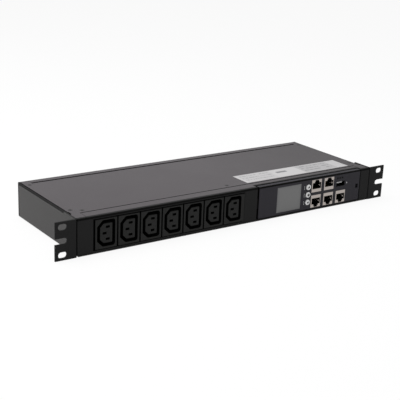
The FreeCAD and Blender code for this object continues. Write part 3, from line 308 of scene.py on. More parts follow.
def stretched(place, shares):
    """The place with each axis scaled, so that noise read there is drawn out along the smallest share."""
    return place.node("ShaderNodeVectorMath", {"operation": "MULTIPLY"}, {0: place, 1: shares})


def cell_tones(place, scale, distance="EUCLIDEAN"):
    """Cells, that many to the metre, each with one random tone."""
    cells = place.node("ShaderNodeTexVoronoi", {"distance": distance}, {"Vector": place, "Scale": scale},
                       output="Color")
    return place.node("ShaderNodeSeparateColor", None, {0: cells})


def zinc_plate():
    """Rolling lines are noise stretched along X, and the spangle is cells a few millimetres across."""
    material, place = new_finish("zinc_plate", {"Metallic": 1.0})
    lines = noise(stretched(place, ROLL_STRETCH), ROLL_SCALE)
    tone = SPANGLE_SHARE * cell_tones(place, SPANGLE_SCALE) + (1 - SPANGLE_SHARE) * lines
    blend_colours(place, tone, ZINC_DARK, ZINC_PALE).feeds("Base Color")
    spread(ZINC_ROUGH, lines).feeds("Roughness")
    return material


finish_nodes(zinc_plate(), "board_brackets", "supply_standoffs")


# Foam strips under the lid
# Black closed-cell foam, cut in strips and stuck along the ledges to close the slot under the lid; its black
# is painted shade for that slot.
# Its cells show as small pits.

FOAM_SHADE = dict(dark=grey(0.008), pale=grey(0.021), rough=(0.85, 0.95), scale=2600.0, height=0.0002, specular=0.2)
finish_nodes(grained("shade_black_foam", **FOAM_SHADE), "cover_gaskets")


# Outlets
# Seven black mouldings of glass-filled nylon, snapped into the carrier, with brass receptacles inside.
# The face has a fine spark-eroded texture; the walls of the keyed moat and slots, the face's top edge and the
# ends of each nose are painted shade in deep black.

NYLON_FACE = dict(dark=(0.0095, 0.0095, 0.0092, 1), pale=(0.014, 0.014, 0.0135, 1), rough=(0.48, 0.62),
                  scale=3000.0, height=0.00002, specular=0.14)
OUTLET_COUNT = 7
FACE_BAND = 0.0003
FACE_TOP = 0.0166
NOSE_HALF = 0.0074
NOSE_BEVEL = (0.011, 0.0117)
outlet_low, outlet_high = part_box("outlet_1")
OUTLET_MIDDLE = (outlet_low.x + outlet_high.x) / 2
OUTLET_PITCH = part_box("outlet_2")[0].x - outlet_low.x


def from_middle(x, middle, pitch):
    """The distance along X from the nearest of a row of middles, from the fraction of X over their pitch."""
    turn = ((x - middle) * (1 / pitch) + 0.5).math("FRACT")
    return abs(turn - 0.5) * pitch


def on_moat_shade(x, y, z):
    """1 behind the face, along its top edge and on the bevelled upper and lower ends of each nose, where
    black is painted shade.
    """
    bevel = within(abs(z), NOSE_BEVEL) * (from_middle(x, OUTLET_MIDDLE, OUTLET_PITCH) < NOSE_HALF)
    return (y > outlet_low.y + FACE_BAND) | (z > FACE_TOP) | bevel


outlet_plastic = overcoat(grained("outlet_moulding", **NYLON_FACE), on_moat_shade, **SHADE_BLACK)
finish_nodes(outlet_plastic, *[f"outlet_{number}" for number in range(1, OUTLET_COUNT + 1)])
DRAW_STRETCH, DRAW_SCALE = (1.0, 0.04, 1.0), 4000.0
BRASS = dict(dark=(0.62, 0.45, 0.2, 1), pale=(0.8, 0.62, 0.32, 1), rough=(0.2, 0.38))


def drawn_metal(name, dark, pale, rough):
    """Plated metal whose faint draw lines are noise stretched along Y."""
    material, place = new_finish(name, {"Metallic": 1.0})
    lines = noise(stretched(place, DRAW_STRETCH), DRAW_SCALE)
    blend_colours(place, lines, dark, pale).feeds("Base Color")
    spread(rough, lines).feeds("Roughness")
    return material


finish_nodes(drawn_metal("receptacle_brass", **BRASS), "line_contacts", "neutral_contacts", "earth_contacts",
             "line_busbar", "neutral_busbar", "earth_busbar")


# Switching board and the other circuit boards
# Green glass-epoxy boards soldered to the outlets, ports and supply, with moulded relays on the first.
# Copper runs show as paler green bands under the mask.

MASK_DARK, MASK_PALE = (0.01, 0.07, 0.03, 1), (0.03, 0.16, 0.07, 1)
RUN_SCALE = 180.0
COPPER_ABOVE, COPPER_SHARE = 0.45, 0.8
RELAY = dict(dark=(0.012, 0.012, 0.014, 1), pale=(0.02, 0.02, 0.023, 1), rough=(0.4, 0.5), scale=2400.0,
             height=0.00002, specular=0.4)


def solder_mask():
    """Copper runs are a grid of cells, each paler or darker at random, under a glossy green mask."""
    material, place = new_finish("green_solder_mask", {"Roughness": 0.3, "Coat Weight": 0.3})
    runs = cell_tones(place, RUN_SCALE, "CHEBYCHEV")
    copper = (runs > COPPER_ABOVE) * COPPER_SHARE + (1 - COPPER_SHARE) * runs
    blend_colours(place, copper, MASK_DARK, MASK_PALE).feeds("Base Color")
    return material


finish_nodes(solder_mask(), "outlet_board", "controller_board", "supply_board")
finish_nodes(grained("relay_moulding", **RELAY), "relays", "button_switches")


# Controller bezel
# One dark grey moulding, clipped into the front panel's opening, with a hole for each port and key.
# Painted shade in black runs along its top and left edges, and pale ticks are printed beside the keys and the
# data port.

MERGE_WITHIN = 1e-7
SMOOTH_BELOW = math.radians(35.0)


def surface(name, grids, material, body):
    """One mesh from grids of points (copies, rows, columns, xyz): columns join up, and equal points merge."""
    copies, rows, columns = grids.shape[:3]
    index = np.arange(copies * rows * columns).reshape(copies, rows, columns)
    index = np.concatenate([index, index[:, :, :1]], axis=2)
    corners = [index[:, :-1, :-1], index[:, :-1, 1:], index[:, 1:, 1:], index[:, 1:, :-1]]
    mesh = bpy.data.meshes.new(name)
    mesh.from_pydata(grids.reshape(-1, 3), [], np.stack(corners, axis=-1).reshape(-1, 4))
    shell = bmesh.new()
    shell.from_mesh(mesh)
    bmesh.ops.remove_doubles(shell, verts=shell.verts, dist=MERGE_WITHIN)
    bmesh.ops.recalc_face_normals(shell, faces=shell.faces)
    shell.to_mesh(mesh)
    shell.free()
    mesh.shade_smooth()
    mesh.set_sharp_from_angle(angle=SMOOTH_BELOW)
    mesh.materials.append(material)
    piece = bpy.data.objects.new(name, mesh)
    bpy.context.scene.collection.objects.link(piece)
    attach(piece, body)
    return piece


def front_plates(centres, reach, face, proud, sink):
    """Flat plates facing the front: rows run from the front's middle, over the edge, to the back's middle.

    reach is the outline's (across, up) offset at each angle, the same for every plate.
    """
    share = np.array([0.0, 1.0, 1.0, 0.0])[:, None, None]
    depth = np.array([face - proud, face - proud, face + sink, face + sink])[:, None]
    across_up = centres[:, None, None, :] + share * reach[None, None]
    depths = np.broadcast_to(depth, across_up.shape[:3])
    return np.stack([across_up[..., 0], depths, across_up[..., 1]], axis=-1)


def oblong(half_wide, half_tall, power, steps=24):
    """A superellipse: each offset is its half size times the cosine or sine raised to a power, sign kept."""
    angle = np.linspace(0, 2 * np.pi, steps, endpoint=False)
    cosine, sine = np.cos(angle), np.sin(angle)
    across = half_wide * np.sign(cosine) * np.abs(cosine) ** power
    up = half_tall * np.sign(sine) * np.abs(sine) ** power
    return np.stack([across, up], axis=-1)


BEZEL_GREY = dict(dark=(0.018, 0.017, 0.021, 1), pale=(0.026, 0.0245, 0.03, 1), rough=(0.5, 0.62),
                  scale=2600.0, height=0.00002, specular=0.14)
BROW_BOTTOM = 0.002
BROW_DEPTH = 0.0014
BEZEL_LEFT = 0.0316
bezel_low, bezel_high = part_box("controller_bezel")


def on_brow_shade(x, y, z):
    """1 on a band along the top of the front and over its rounded edge, and on its left wall and clips, where
    black is painted shade.
    """
    band = (z > bezel_high.z - BROW_BOTTOM) * (y < bezel_low.y + BROW_DEPTH)
    return band | (x < BEZEL_LEFT + EDGE_BAND)


finish_nodes(overcoat(grained("bezel_moulding", **BEZEL_GREY), on_brow_shade, **SHADE_BLACK), "controller_bezel")
INK_SCALE = 5000.0
INK_PROUD = 0.00003
INK_SINK = 0.00002
TICK_OFFSET = 0.0066
TICK_GAP = 0.0018
TICK_SHAPE = dict(half_wide=0.00035, half_tall=0.0006, power=0.4)
PORT_TICK_OFFSET = 0.0036
PORT_TICK_SHAPE = dict(half_wide=0.0006, half_tall=0.001, power=0.5)
key_boxes = {name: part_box(name) for name in ("button_up", "button_select", "button_down")}
key_spots = {name: (low + high) / 2 for name, (low, high) in key_boxes.items()}
usb_low, usb_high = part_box("usb_shell")


def print_ink(name, dark, pale, rough):
    """Ink that a very fine noise makes uneven."""
    material, place = new_finish(name, {"Roughness": rough})
    blend_colours(place, noise(place, INK_SCALE), dark, pale).feeds("Base Color")
    return material


pale_ink = print_ink("pale_print", dark=grey(0.36), pale=grey(0.6), rough=0.5)
tick_spots = np.array([(spot.x - TICK_OFFSET, spot.z + step * TICK_GAP)
                       for spot in key_spots.values() for step in (-1, 0, 1)])
tick_grid = front_plates(tick_spots, oblong(**TICK_SHAPE), bezel_low.y, INK_PROUD, INK_SINK)
surface("key_ticks", tick_grid, pale_ink, "chassis")
port_spot = np.array([(usb_high.x + PORT_TICK_OFFSET, (usb_low.z + usb_high.z) / 2)])
port_grid = front_plates(port_spot, oblong(**PORT_TICK_SHAPE), bezel_low.y, INK_PROUD, INK_SINK)
surface("port_tick", port_grid, pale_ink, "chassis")


# Closing strip
# A black moulded strip that fills the end of the outlet window beside the controller.
# It is pressed in between the last outlet and the panel, flush with the outlets, and rests on the carrier.

WINDOW_END = 0.0098
WINDOW_HALF = 0.0184
STRIP_CLEAR = 0.0001
STRIP_POWER = 0.01
outlet_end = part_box("outlet_7")[1].x
strip_spot = np.array([((outlet_end + WINDOW_END) / 2, 0.0)])
strip_outline = oblong((WINDOW_END - outlet_end) / 2 - STRIP_CLEAR, WINDOW_HALF - STRIP_CLEAR, STRIP_POWER)
strip_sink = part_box("outlet_carrier")[0].y - outlet_low.y
strip_grid = front_plates(strip_spot, strip_outline, outlet_low.y, proud=0.0, sink=strip_sink)
surface("closing_strip", strip_grid, outlet_plastic, "chassis")


# Display
# A grey tinted acrylic pane let into the bezel, polished, with the display's moulded body behind it.
# The unlit screen shows as one even grey, with painted shade of the bezel along its edges.

PANE_GREY, PANE_SHADE = grey(0.147), (0.1, 0.1, 0.102, 1)
EDGE_POWER, EDGE_SHARE = 12.0, 0.8
HAZE_SCALE, HAZE_SHARE = 60.0, 0.15
DISPLAY_BODY = dict(dark=grey(0.12), pale=grey(0.16), rough=(0.5, 0.6), scale=2400.0, height=0.00002)


def tinted_pane():
    """An even grey with painted shade at the pane's edges, by a high power of the share of its half size."""
    low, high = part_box("display_pane")
    middle = (low + high) / 2
    material, place = new_finish("grey_display_pane", {"Roughness": 0.16, "Specular IOR Level": 0.4})
    x, _, z = axes_of(place)
    across = abs((x - middle.x) * (2 / (high.x - low.x)))
    up = abs((z - middle.z) * (2 / (high.z - low.z)))
    tone = EDGE_SHARE * (across | up) ** EDGE_POWER + HAZE_SHARE * noise(place, HAZE_SCALE)
    blend_colours(place, tone, PANE_GREY, PANE_SHADE).feeds("Base Color")
    return material


finish_nodes(tinted_pane(), "display_pane")
finish_nodes(grained("display_body", **DISPLAY_BODY), "display_module")


# Keys
# Three pale grey moulded caps, each a round head with a rolled edge, a plate of lugs and a square stem.
# The lugs hold it behind the bezel, and a dark mark is printed on the head: a triangle or a disc.

KEY_PLASTIC = dict(dark=grey(0.64), pale=grey(0.72), rough=(0.38, 0.48), scale=2600.0, height=0.00001)
KEY_STEPS = 48
CAP_RADIUS = 0.0036
HEAD_SHARES = (0.0, 0.3, 0.55, 0.75, 0.88, 0.95, 0.985, 1.0)
HEAD_SUNK = (0.00005, 0.00005, 0.00005, 0.00012, 0.0003, 0.0005, 0.0007, 0.001)
LUG_FRONT, LUG_BACK = 0.0005, 0.0013
LUG_POWER = 0.08
STEM_HALF = 0.0016
MARK_SIZE = 0.0022
DISC_SHARE = 0.85
MARK_DEPTH = 0.00005
MARK_SINK = 0.00008


def polygon(sides, size, turn):
    """A regular polygon in polar form: apothem over the cosine of the angle from the side's middle."""
    angle = np.linspace(0, 2 * np.pi, KEY_STEPS, endpoint=False)
    slice_angle = 2 * np.pi / sides
    off_side = (angle - turn) % slice_angle - slice_angle / 2
    radius = size * np.cos(slice_angle / 2) / np.cos(off_side)
    return np.stack([radius * np.cos(angle), radius * np.sin(angle)], axis=-1)


def key_grid(low, high):
    """A section carried along Y: circles over the rolled head, an oblong at the lugs, a square stem."""
    lug_half = ((high.x - low.x) / 2, (high.z - low.z) / 2)
    head_radii = np.append(HEAD_SHARES, 1.0) * CAP_RADIUS
    head = [oblong(radius, radius, 1.0, KEY_STEPS) for radius in head_radii]
    lugs = [oblong(*lug_half, LUG_POWER, KEY_STEPS)] * 2
    stem = [oblong(STEM_HALF, STEM_HALF, LUG_POWER, KEY_STEPS)] * 2
    outline = np.stack(head + lugs + stem + [np.zeros((KEY_STEPS, 2))])
    behind = [LUG_FRONT, LUG_FRONT, LUG_BACK, LUG_BACK, high.y, high.y]
    depth = np.concatenate([low.y + np.array(HEAD_SUNK), behind])
    depths = np.broadcast_to(depth[:, None], outline.shape[:2])
    middle = (low + high) / 2
    return np.stack([middle.x + outline[..., 0], depths, middle.z + outline[..., 1]], axis=-1)[None]


key_plastic = grained("key_moulding", **KEY_PLASTIC)
dark_ink = print_ink("dark_print", dark=grey(0.012), pale=grey(0.03), rough=0.45)
key_marks = {"button_up": ("up_key", polygon(3, MARK_SIZE, np.pi / 2)),
             "button_select": ("select_key", polygon(KEY_STEPS, DISC_SHARE * MARK_SIZE, 0.0)),
             "button_down": ("down_key", polygon(3, MARK_SIZE, -np.pi / 2))}
for key, (body, outline) in key_marks.items():
    cap = surface(f"{key}_cap", key_grid(*key_boxes[key]), key_plastic, body)
    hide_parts(key)
    spot = key_spots[key]
    head_face = key_boxes[key][0].y + MARK_DEPTH
    mark = front_plates(np.array([(spot.x, spot.z)]), outline, head_face, INK_PROUD, MARK_SINK)
    surface(f"{key}_mark", mark, dark_ink, body)


# Network jacks
# Folded tinned shields over black inserts, five in two rows, the lower row upside down, with painted shade in
# black round each mouth.
# Two leaf springs bent from each shield stand in its mouth to earth the plug.

TIN = dict(dark=(0.34, 0.306, 0.284, 1), pale=(0.462, 0.416, 0.386, 1), rough=(0.28, 0.44))
GILT = dict(dark=(0.75, 0.52, 0.18, 1), pale=(0.9, 0.7, 0.32, 1), rough=(0.15, 0.28))
PORT_BLACK = dict(dark=grey(0.003), pale=grey(0.005), rough=(0.55, 0.65), scale=3000.0, height=0.00002,
                  specular=0.08)
JACK_COUNT = 5
RIM_BAND = 0.0003
RIM_START = 0.0062
RIM_SHIFT = 0.0003
RIM_STEPS = ((0.007, 0.0142), (0.004, 0.016), (0.0029, 0.0178))
shields = [f"jack_shield_{number}" for number in range(1, JACK_COUNT + 1)]
shield_boxes = [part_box(name) for name in shields]
shield_low, shield_high = shield_boxes[0]
JACK_PITCH = shield_boxes[1][0].x - shield_low.x
JACK_MIDDLE = (shield_low.x + shield_high.x) / 2


def on_mouth_shade(x, y, z):
    """1 on the front round each mouth, in three steps that narrow outwards, where black is painted shade."""
    across, up = from_middle(x, JACK_MIDDLE + RIM_SHIFT, JACK_PITCH), abs(z)
    wide, middle, narrow = [(across < half) * (up < top) for half, top in RIM_STEPS]
    return (wide | middle | narrow) * (up > RIM_START) * (y < shield_low.y + RIM_BAND)


finish_nodes(overcoat(drawn_metal("mouth_shaded_shield", **TIN), on_mouth_shade, **SHADE_BLACK), *shields)
finish_nodes(grained("port_moulding", **PORT_BLACK), "jack_inserts")
gold = drawn_metal("gilt_contacts", **GILT)
finish_nodes(gold, "jack_pins")
MOUTH_HALF = 0.006
MOUTH_MIDDLE = 0.0003
LEAF_SETBACK = 0.0003
LEAF_STEPS = 17


def bent_leaves(roots, inward, length, bulge, half_tall, thick):
    """Leaves that run back from their roots and bow inwards by bulge times the sine of their length's share.

    Rows run along the leaf, columns round its flat section, and both ends close on the leaf's middle line.
    """
    share = np.linspace(0, 1, LEAF_STEPS)
    bow = bulge * np.sin(np.pi * share)
    corners = np.array([(0, -1), (1, -1), (1, 1), (0, 1)])
    across = bow[:, None] + thick * corners[None, :, 0]
    up = half_tall * np.broadcast_to(corners[None, :, 1], across.shape)
    back = length * np.broadcast_to(share[:, None], across.shape)
    ends = np.concatenate([[0], np.arange(LEAF_STEPS), [LEAF_STEPS - 1]])
    closing = np.ones(LEAF_STEPS + 2)
    closing[[0, -1]] = 0
    across, up, back = across[ends], up[ends] * closing[:, None], back[ends]
    across[[0, -1]] = across[[0, -1]].mean(axis=1, keepdims=True)
    return np.stack([roots[:, 0, None, None] + inward[:, None, None] * across,
                     roots[:, 1, None, None] + back,
                     roots[:, 2, None, None] + up], axis=-1)


leaf_roots = np.array([((low.x + high.x) / 2 + side * MOUTH_HALF, low.y + LEAF_SETBACK,
                        (low.z + high.z) / 2 + math.copysign(MOUTH_MIDDLE, low.z + high.z))
                       for low, high in shield_boxes for side in (-1, 1)])
leaf_inward = np.tile([1.0, -1.0], JACK_COUNT)
leaf_grid = bent_leaves(leaf_roots, leaf_inward, length=0.006, bulge=0.001, half_tall=0.0009, thick=0.0002)
surface("shield_leaves", leaf_grid, drawn_metal("tinned_leaf", **TIN), "chassis")


# Data port
# A folded shell of black nickel plate round a pale tongue, with four gilt strips on the tongue's lower face.
# The shell is soldered to the controller board.

BLACK_NICKEL = dict(dark=(0.008, 0.008, 0.0078, 1), pale=(0.014, 0.0138, 0.0135, 1), rough=(0.3, 0.45))
TONGUE = dict(dark=grey(0.7), pale=grey(0.78), rough=(0.5, 0.6), scale=3000.0, height=0.00001, specular=0.3)
TONGUE_DROP = 0.00285
CONTACT_STEPS = np.array([-1.5, -0.5, 0.5, 1.5])
CONTACT_PITCH = 0.0024
CONTACT_SETBACK = 0.0006
finish_nodes(drawn_metal("black_nickel_shell", **BLACK_NICKEL), "usb_shell")
finish_nodes(grained("tongue_moulding", **TONGUE), "usb_tongue")
tongue_low, tongue_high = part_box("usb_tongue")
contact_x = (tongue_low.x + tongue_high.x) / 2 + CONTACT_PITCH * CONTACT_STEPS
contact_front = np.full(len(contact_x), tongue_low.y + CONTACT_SETBACK)
contact_under = np.full(len(contact_x), tongue_high.z - TONGUE_DROP)
contact_roots = np.stack([contact_x, contact_front, contact_under], axis=-1)


def flat_strips(roots, length, half_wide, thick):
    """Straight strips under a flat face: rows run back along Y, columns go round, and the ends close."""
    corners = np.array([(-1, 0), (1, 0), (1, -1), (-1, -1)])
    back = np.array([0.0, 0.0, length, length])
    open_end = np.array([0.0, 1.0, 1.0, 0.0])
    across = open_end[:, None] * half_wide * corners[None, :, 0]
    up = thick * (corners[None, :, 1] * open_end[:, None] - 0.5 * (1 - open_end[:, None]))
    deep = np.broadcast_to(back[:, None], across.shape)
    return roots[:, None, None, :] + np.stack([across, deep, up], axis=-1)[None]


contact_grid = flat_strips(contact_roots, length=0.007, half_wide=0.0005, thick=0.00008)
surface("tongue_strips", contact_grid, gold, "chassis")


# Status lights
# Three square light pipes of smoky acrylic, dark while the unit is off.
# They are pressed into the bezel and carry the light from the board to its face.

PIPE = dict(dark=grey(0.001), pale=grey(0.002), rough=(0.4, 0.5), scale=1500.0, height=0.00001, specular=0.05)
finish_nodes(grained("smoky_light_pipe", **PIPE), "status_lights")


# Inlet
# A black moulding snapped into the rear panel, with three nickel-plated blades.
# Its finish is that of the outlets' inner walls.

NICKEL = dict(dark=(0.6, 0.59, 0.56, 1), pale=(0.75, 0.74, 0.71, 1), rough=(0.18, 0.32))
finish_nodes(outlet_plastic, "power_inlet")
finish_nodes(drawn_metal("nickel_blades", **NICKEL), "inlet_pins")


# Wires and flat cable
# Flat copper links in coloured insulation from the inlet to the bars, and a grey flat cable between boards.
# The earth link is green with a yellow stripe along it.

SLEEVE = dict(rough=(0.42, 0.52), scale=900.0, height=0.00001)
BROWN = dict(SLEEVE, dark=(0.09, 0.04, 0.015, 1), pale=(0.13, 0.06, 0.025, 1))
BLUE = dict(SLEEVE, dark=(0.012, 0.05, 0.2, 1), pale=(0.02, 0.08, 0.28, 1))
GREEN, YELLOW = (0.03, 0.2, 0.03, 1), (0.55, 0.45, 0.03, 1)
STRIPE_HALF, STRIPE_SHARE = 1 / 6, 0.9
CABLE_DARK, CABLE_PALE = (0.2, 0.2, 0.21, 1), (0.34, 0.34, 0.35, 1)
CORE_PITCH, CORE_HEIGHT = 0.00127, 0.0003


def striped_sleeve():
    """Yellow within a band along the link's middle, green elsewhere, each a little uneven."""
    low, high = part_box("earth_wire")
    material, place = new_finish("striped_earth_sleeve", {"Roughness": 0.45})
    x = axes_of(place)[0]
    stripe = abs(x - (low.x + high.x) / 2) < STRIPE_HALF * (high.x - low.x)
    tone = stripe * STRIPE_SHARE + (1 - STRIPE_SHARE) * noise(place, SLEEVE["scale"])
    blend_colours(place, tone, GREEN, YELLOW).feeds("Base Color")
    return material


def ribbed_cable():
    """Each core of the flat cable is one wave along Z, in the colour and in the bump."""
    material, place = new_finish("grey_flat_cable", {"Roughness": 0.5})
    z = axes_of(place)[2]
    cores = 0.5 + 0.5 * (z * (2 * math.pi / CORE_PITCH)).math("SINE")
    blend_colours(place, cores, CABLE_DARK, CABLE_PALE).feeds("Base Color")
    place.node("ShaderNodeBump", None, {"Distance": CORE_HEIGHT, "Height": cores}).feeds("Normal")
    return material


finish_nodes(grained("brown_sleeve", **BROWN), "line_wire")
finish_nodes(grained("blue_sleeve", **BLUE), "neutral_wire")
finish_nodes(striped_sleeve(), "earth_wire")
finish_nodes(ribbed_cable(), "signal_ribbon")


# Controller supply
# A wound transformer in yellow tape and a film capacitor in a grey moulded box, both on the supply board.
# The tape's laps show as bands up the winding.

TAPE_PALE, TAPE_DARK = (0.5, 0.36, 0.05, 1), (0.3, 0.2, 0.03, 1)
TAPE_SCALE = 400.0
LAP_PITCH = 0.0042
LAP_EDGE, LAP_SHARE = 0.1, 0.8
FILM_BOX = dict(dark=(0.24, 0.24, 0.25, 1), pale=(0.34, 0.34, 0.35, 1), rough=(0.35, 0.45), scale=1200.0,
                height=0.00001)


def lapped_tape():
    """Bands along Z, one for each lap of tape, with a thin dark edge."""
    material, place = new_finish("winding_tape", {"Roughness": 0.35})
    lap = (axes_of(place)[2] * (1 / LAP_PITCH)).math("FRACT")
    edge = (lap < LAP_EDGE) * LAP_SHARE + (1 - LAP_SHARE) * noise(place, TAPE_SCALE)
    blend_colours(place, edge, TAPE_PALE, TAPE_DARK).feeds("Base Color")
    return material


finish_nodes(lapped_tape(), "supply_transformer")
finish_nodes(grained("film_capacitor_box", **FILM_BOX), "supply_capacitor")


# Sticker on the lid
# A pale coated paper sticker behind the lid's front seam, above the controller.
# Its print is plain: fields of grey and rows of dashes that spell nothing.

PAPER, PRINT = (0.474, 0.463, 0.468, 1), (0.13, 0.13, 0.14, 1)
PAPER_ROUGH, PAPER_SCALE = (0.32, 0.47), 700.0
STAIN_SCALE, STAIN_SHARE = 90.0, 0.08
DASH_ROWS, DASH_CELLS = 4.0, 120.0
DASH_CHANCE, DASH_TALL, DASH_SHARE = 0.35, 0.35, 0.45
LEFT_DASHES, RIGHT_DASHES = ((0.03, 0.31), (0.12, 0.88)), ((0.6, 0.88), (0.12, 0.88))
LEFT_FIELD, LEFT_SHARE = ((0.02, 0.32), (0.05, 0.95)), 0.12
RIGHT_FIELD, RIGHT_SHARE = ((0.58, 0.9), (0.05, 0.95)), 0.35
END_FROM, END_SHARE = 0.9, 0.1
BLOCK = ((0.36, 0.46), (0.53, 0.7))


def printed_sticker():
    """Dashes are random cells in rows, and each field of the print is a rectangle on the sticker."""
    low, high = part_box("cover_label")
    material, place = new_finish("printed_sticker", {"Specular IOR Level": 0.4})
    x, y, _ = axes_of(place)
    across = (x - low.x) * (1 / (high.x - low.x))
    deep = (y - low.y) * (1 / (high.y - low.y))

    def field(sides):
        """1 between the sides across and along the sticker, each a share of its size."""
        return within(across, sides[0]) * within(deep, sides[1])

    row = deep * DASH_ROWS
    column = (across * DASH_CELLS).math("FLOOR")
    cell = place.node("ShaderNodeCombineXYZ", None, {"X": column, "Y": row.math("FLOOR")})
    chance = cell.node("ShaderNodeTexWhiteNoise", None, {"Vector": cell})
    dashes = (chance > DASH_CHANCE) * (row.math("FRACT") < DASH_TALL)
    fine_print = dashes * (field(LEFT_DASHES) + field(RIGHT_DASHES))
    wash = LEFT_SHARE * field(LEFT_FIELD) + RIGHT_SHARE * field(RIGHT_FIELD) + END_SHARE * (across > END_FROM)
    stains = STAIN_SHARE * noise(place, STAIN_SCALE)
    shade = wash + field(BLOCK) + DASH_SHARE * fine_print + stains
    blend_colours(place, shade, PAPER, PRINT).feeds("Base Color")
    spread(PAPER_ROUGH, noise(place, PAPER_SCALE)).feeds("Roughness")
    return material


finish_nodes(printed_sticker(), "cover_label")


# Screws
# Black-plated countersunk machine screws with cross recesses, flush with the lid.
# Four hold its corners and two its front edge, all to the rails under it.

BLACK_PLATE = dict(dark=(0.013, 0.012, 0.013, 1), pale=(0.019, 0.0175, 0.0185, 1), rough=(0.4, 0.5),
                   scale=1200.0, height=0.00001, specular=0.22)
SCREW_STEPS = 48
HEAD_RADIUS = 0.0025
SHANK_RADIUS = 0.0015
CROSS_CORE, CROSS_REACH = 0.2 * HEAD_RADIUS, 0.42 * HEAD_RADIUS
CROSS_DEPTH = 0.42 * HEAD_RADIUS
CROSS_FLOOR, CROSS_WALL, CROSS_EDGE = 0.55, 0.93, 1.08
RIM_DROP = 0.06 * HEAD_RADIUS
RIM_RADIUS = 0.94 * HEAD_RADIUS
CONE_DEPTH = HEAD_RADIUS - SHANK_RADIUS
FRONT_CORNER_Y = 0.0287
SEAM_ROW_Y = 0.0223
SEAM_ROW_X = (-0.1964, 0.0)


def screw_grid(heads, length):
    """Screws turned about upright axes: rows go from the recess's floor over the head and cone to the tip.

    The recess's edge is a four-lobed curve, its radius a core plus a reach times the fourth power of cos 2a.
    """
    angle = np.linspace(0, 2 * np.pi, SCREW_STEPS, endpoint=False)
    lobes = CROSS_CORE + CROSS_REACH * np.cos(2 * angle) ** 4
    lobed = np.array([0.0, CROSS_FLOOR, CROSS_WALL, CROSS_EDGE, 0.0, 0.0, 0.0, 0.0, 0.0])
    round_radius = np.array([0.0, 0.0, 0.0, 0.0, RIM_RADIUS, HEAD_RADIUS, SHANK_RADIUS, SHANK_RADIUS, 0.0])
    depth = np.array([CROSS_DEPTH, CROSS_DEPTH, RIM_DROP, 0.0, 0.0, RIM_DROP, CONE_DEPTH, length, length])
    radius = lobed[:, None] * lobes + round_radius[:, None]
    height = np.broadcast_to(-depth[:, None], radius.shape)
    local = np.stack([radius * np.cos(angle), radius * np.sin(angle), height], axis=-1)
    return np.asarray(heads)[:, None, None, :] + local[None]


screws_low, screws_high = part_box("cover_screws")
corner_x = screws_high.x - HEAD_RADIUS
corner_y = (FRONT_CORNER_Y, screws_high.y - HEAD_RADIUS)
screw_heads = [(side * corner_x, deep, screws_high.z) for side in (-1, 1) for deep in corner_y]
screw_heads += [(across, SEAM_ROW_Y, screws_high.z) for across in SEAM_ROW_X]
lid_grid = screw_grid(screw_heads, screws_high.z - screws_low.z)
black_plate = grained("black_zinc_plate", **BLACK_PLATE)
lid_screws = surface("lid_screws", lid_grid, black_plate, "chassis")
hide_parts("cover_screws")


# Floor and studio light
# A plain white floor and white surroundings, with broad soft lamps above and to the left.
# Camera, glossy and transmitted rays see the surroundings as white, and the floor keeps a faint shadow.

AMBIENT = 0.55
FLOOR_WHITE, FLOOR_ROUGH = grey(0.86), 0.9
FLOOR_RADIUS, FLOOR_STEPS = 6.0, 64
SHADOW_SHARE = 0.12


def seen_directly(tree):
    """1 for rays from the camera, a reflection or a clear pane, and 0 for the light that falls on things."""
    path = Signal(tree, tree.nodes.new("ShaderNodeLightPath").outputs["Is Camera Ray"])
    return path | path.other("Is Glossy Ray") | path.other("Is Transmission Ray")


world = bpy.data.worlds.new("studio")
world.use_nodes = True
bpy.context.scene.world = world
world.node_tree.nodes["Background"].inputs["Color"].default_value = grey(1)
(AMBIENT + (1 - AMBIENT) * seen_directly(world.node_tree)).feeds("Strength", "Background")

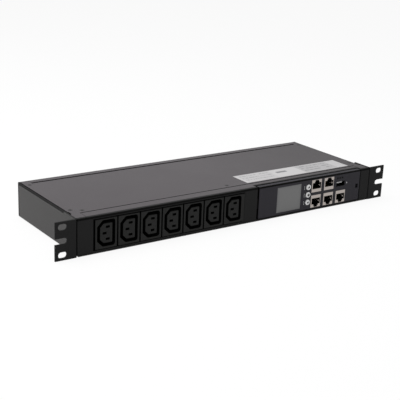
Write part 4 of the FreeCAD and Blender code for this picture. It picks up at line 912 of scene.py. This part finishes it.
white, white_place = new_finish("white_floor", {"Base Color": FLOOR_WHITE, "Roughness": FLOOR_ROUGH})
matt = Signal(white.node_tree, white.node_tree.nodes["Principled BSDF"].outputs[0])
glow = white_place.node("ShaderNodeEmission")
glow_share = (1 - SHADOW_SHARE) * seen_directly(white.node_tree)
floor_mix = white_place.node("ShaderNodeMixShader", None, {0: glow_share, 1: matt, 2: glow})
floor_mix.feeds("Surface", "Material Output")
floor_angle = np.linspace(0, 2 * np.pi, FLOOR_STEPS, endpoint=False)
floor_ring = FLOOR_RADIUS * np.stack([np.cos(floor_angle), np.sin(floor_angle), 0 * floor_angle], axis=-1)
floor_points = floor_ring + np.array([0, 0, cad_box[0][2]])
floor_mesh = bpy.data.meshes.new("floor")
floor_mesh.from_pydata(floor_points, [], [list(range(FLOOR_STEPS))])
floor_mesh.materials.append(white)
floor = bpy.data.objects.new("floor", floor_mesh)
bpy.context.scene.collection.objects.link(floor)


def soft_lamp(name, place, aim, size, power):
    """A square area lamp at a place, facing a point."""
    lamp = bpy.data.lights.new(name, "AREA")
    lamp.size = size
    lamp.energy = power
    holder = bpy.data.objects.new(name, lamp)
    holder.location = place
    step = np.subtract(aim, place)
    tilt = math.atan2(math.hypot(step[0], step[1]), -step[2])
    holder.rotation_euler = (tilt, 0, math.atan2(-step[0], step[1]))
    bpy.context.scene.collection.objects.link(holder)


soft_lamp("overhead", place=(-0.45, 0.2, 1.4), aim=(0, 0.05, 0), size=1.4, power=19.0)
soft_lamp("left_fill", place=(-1.0, 1.35, 0.35), aim=(-0.1, 0.05, 0), size=0.8, power=2.7)


# Camera
# The photograph's own view, from the left, above the lid and a little rolled.
# Its place, angles and lens are a pinhole camera fitted to the rack's standard sizes in the photograph.

AZIMUTH = math.radians(35.364)
ELEVATION = math.radians(18.122)
ROLL = math.radians(2.357)
LENS, SENSOR = 84.199, 36.0
CAMERA_PLACE = (-0.651637, -0.840898, 0.355616)
camera = bpy.data.cameras.new("photo_view")
camera.lens = LENS
camera.sensor_width = SENSOR
viewer = bpy.data.objects.new("photo_view", camera)
viewer.rotation_mode = "XYZ"
viewer.location = CAMERA_PLACE
viewer.rotation_euler = (math.pi / 2 - ELEVATION, 0, -AZIMUTH)
viewer.rotation_euler.rotate_axis("Z", ROLL)
bpy.context.scene.collection.objects.link(viewer)
bpy.context.scene.camera = viewer
bpy.context.scene.view_settings.view_transform = "Standard"
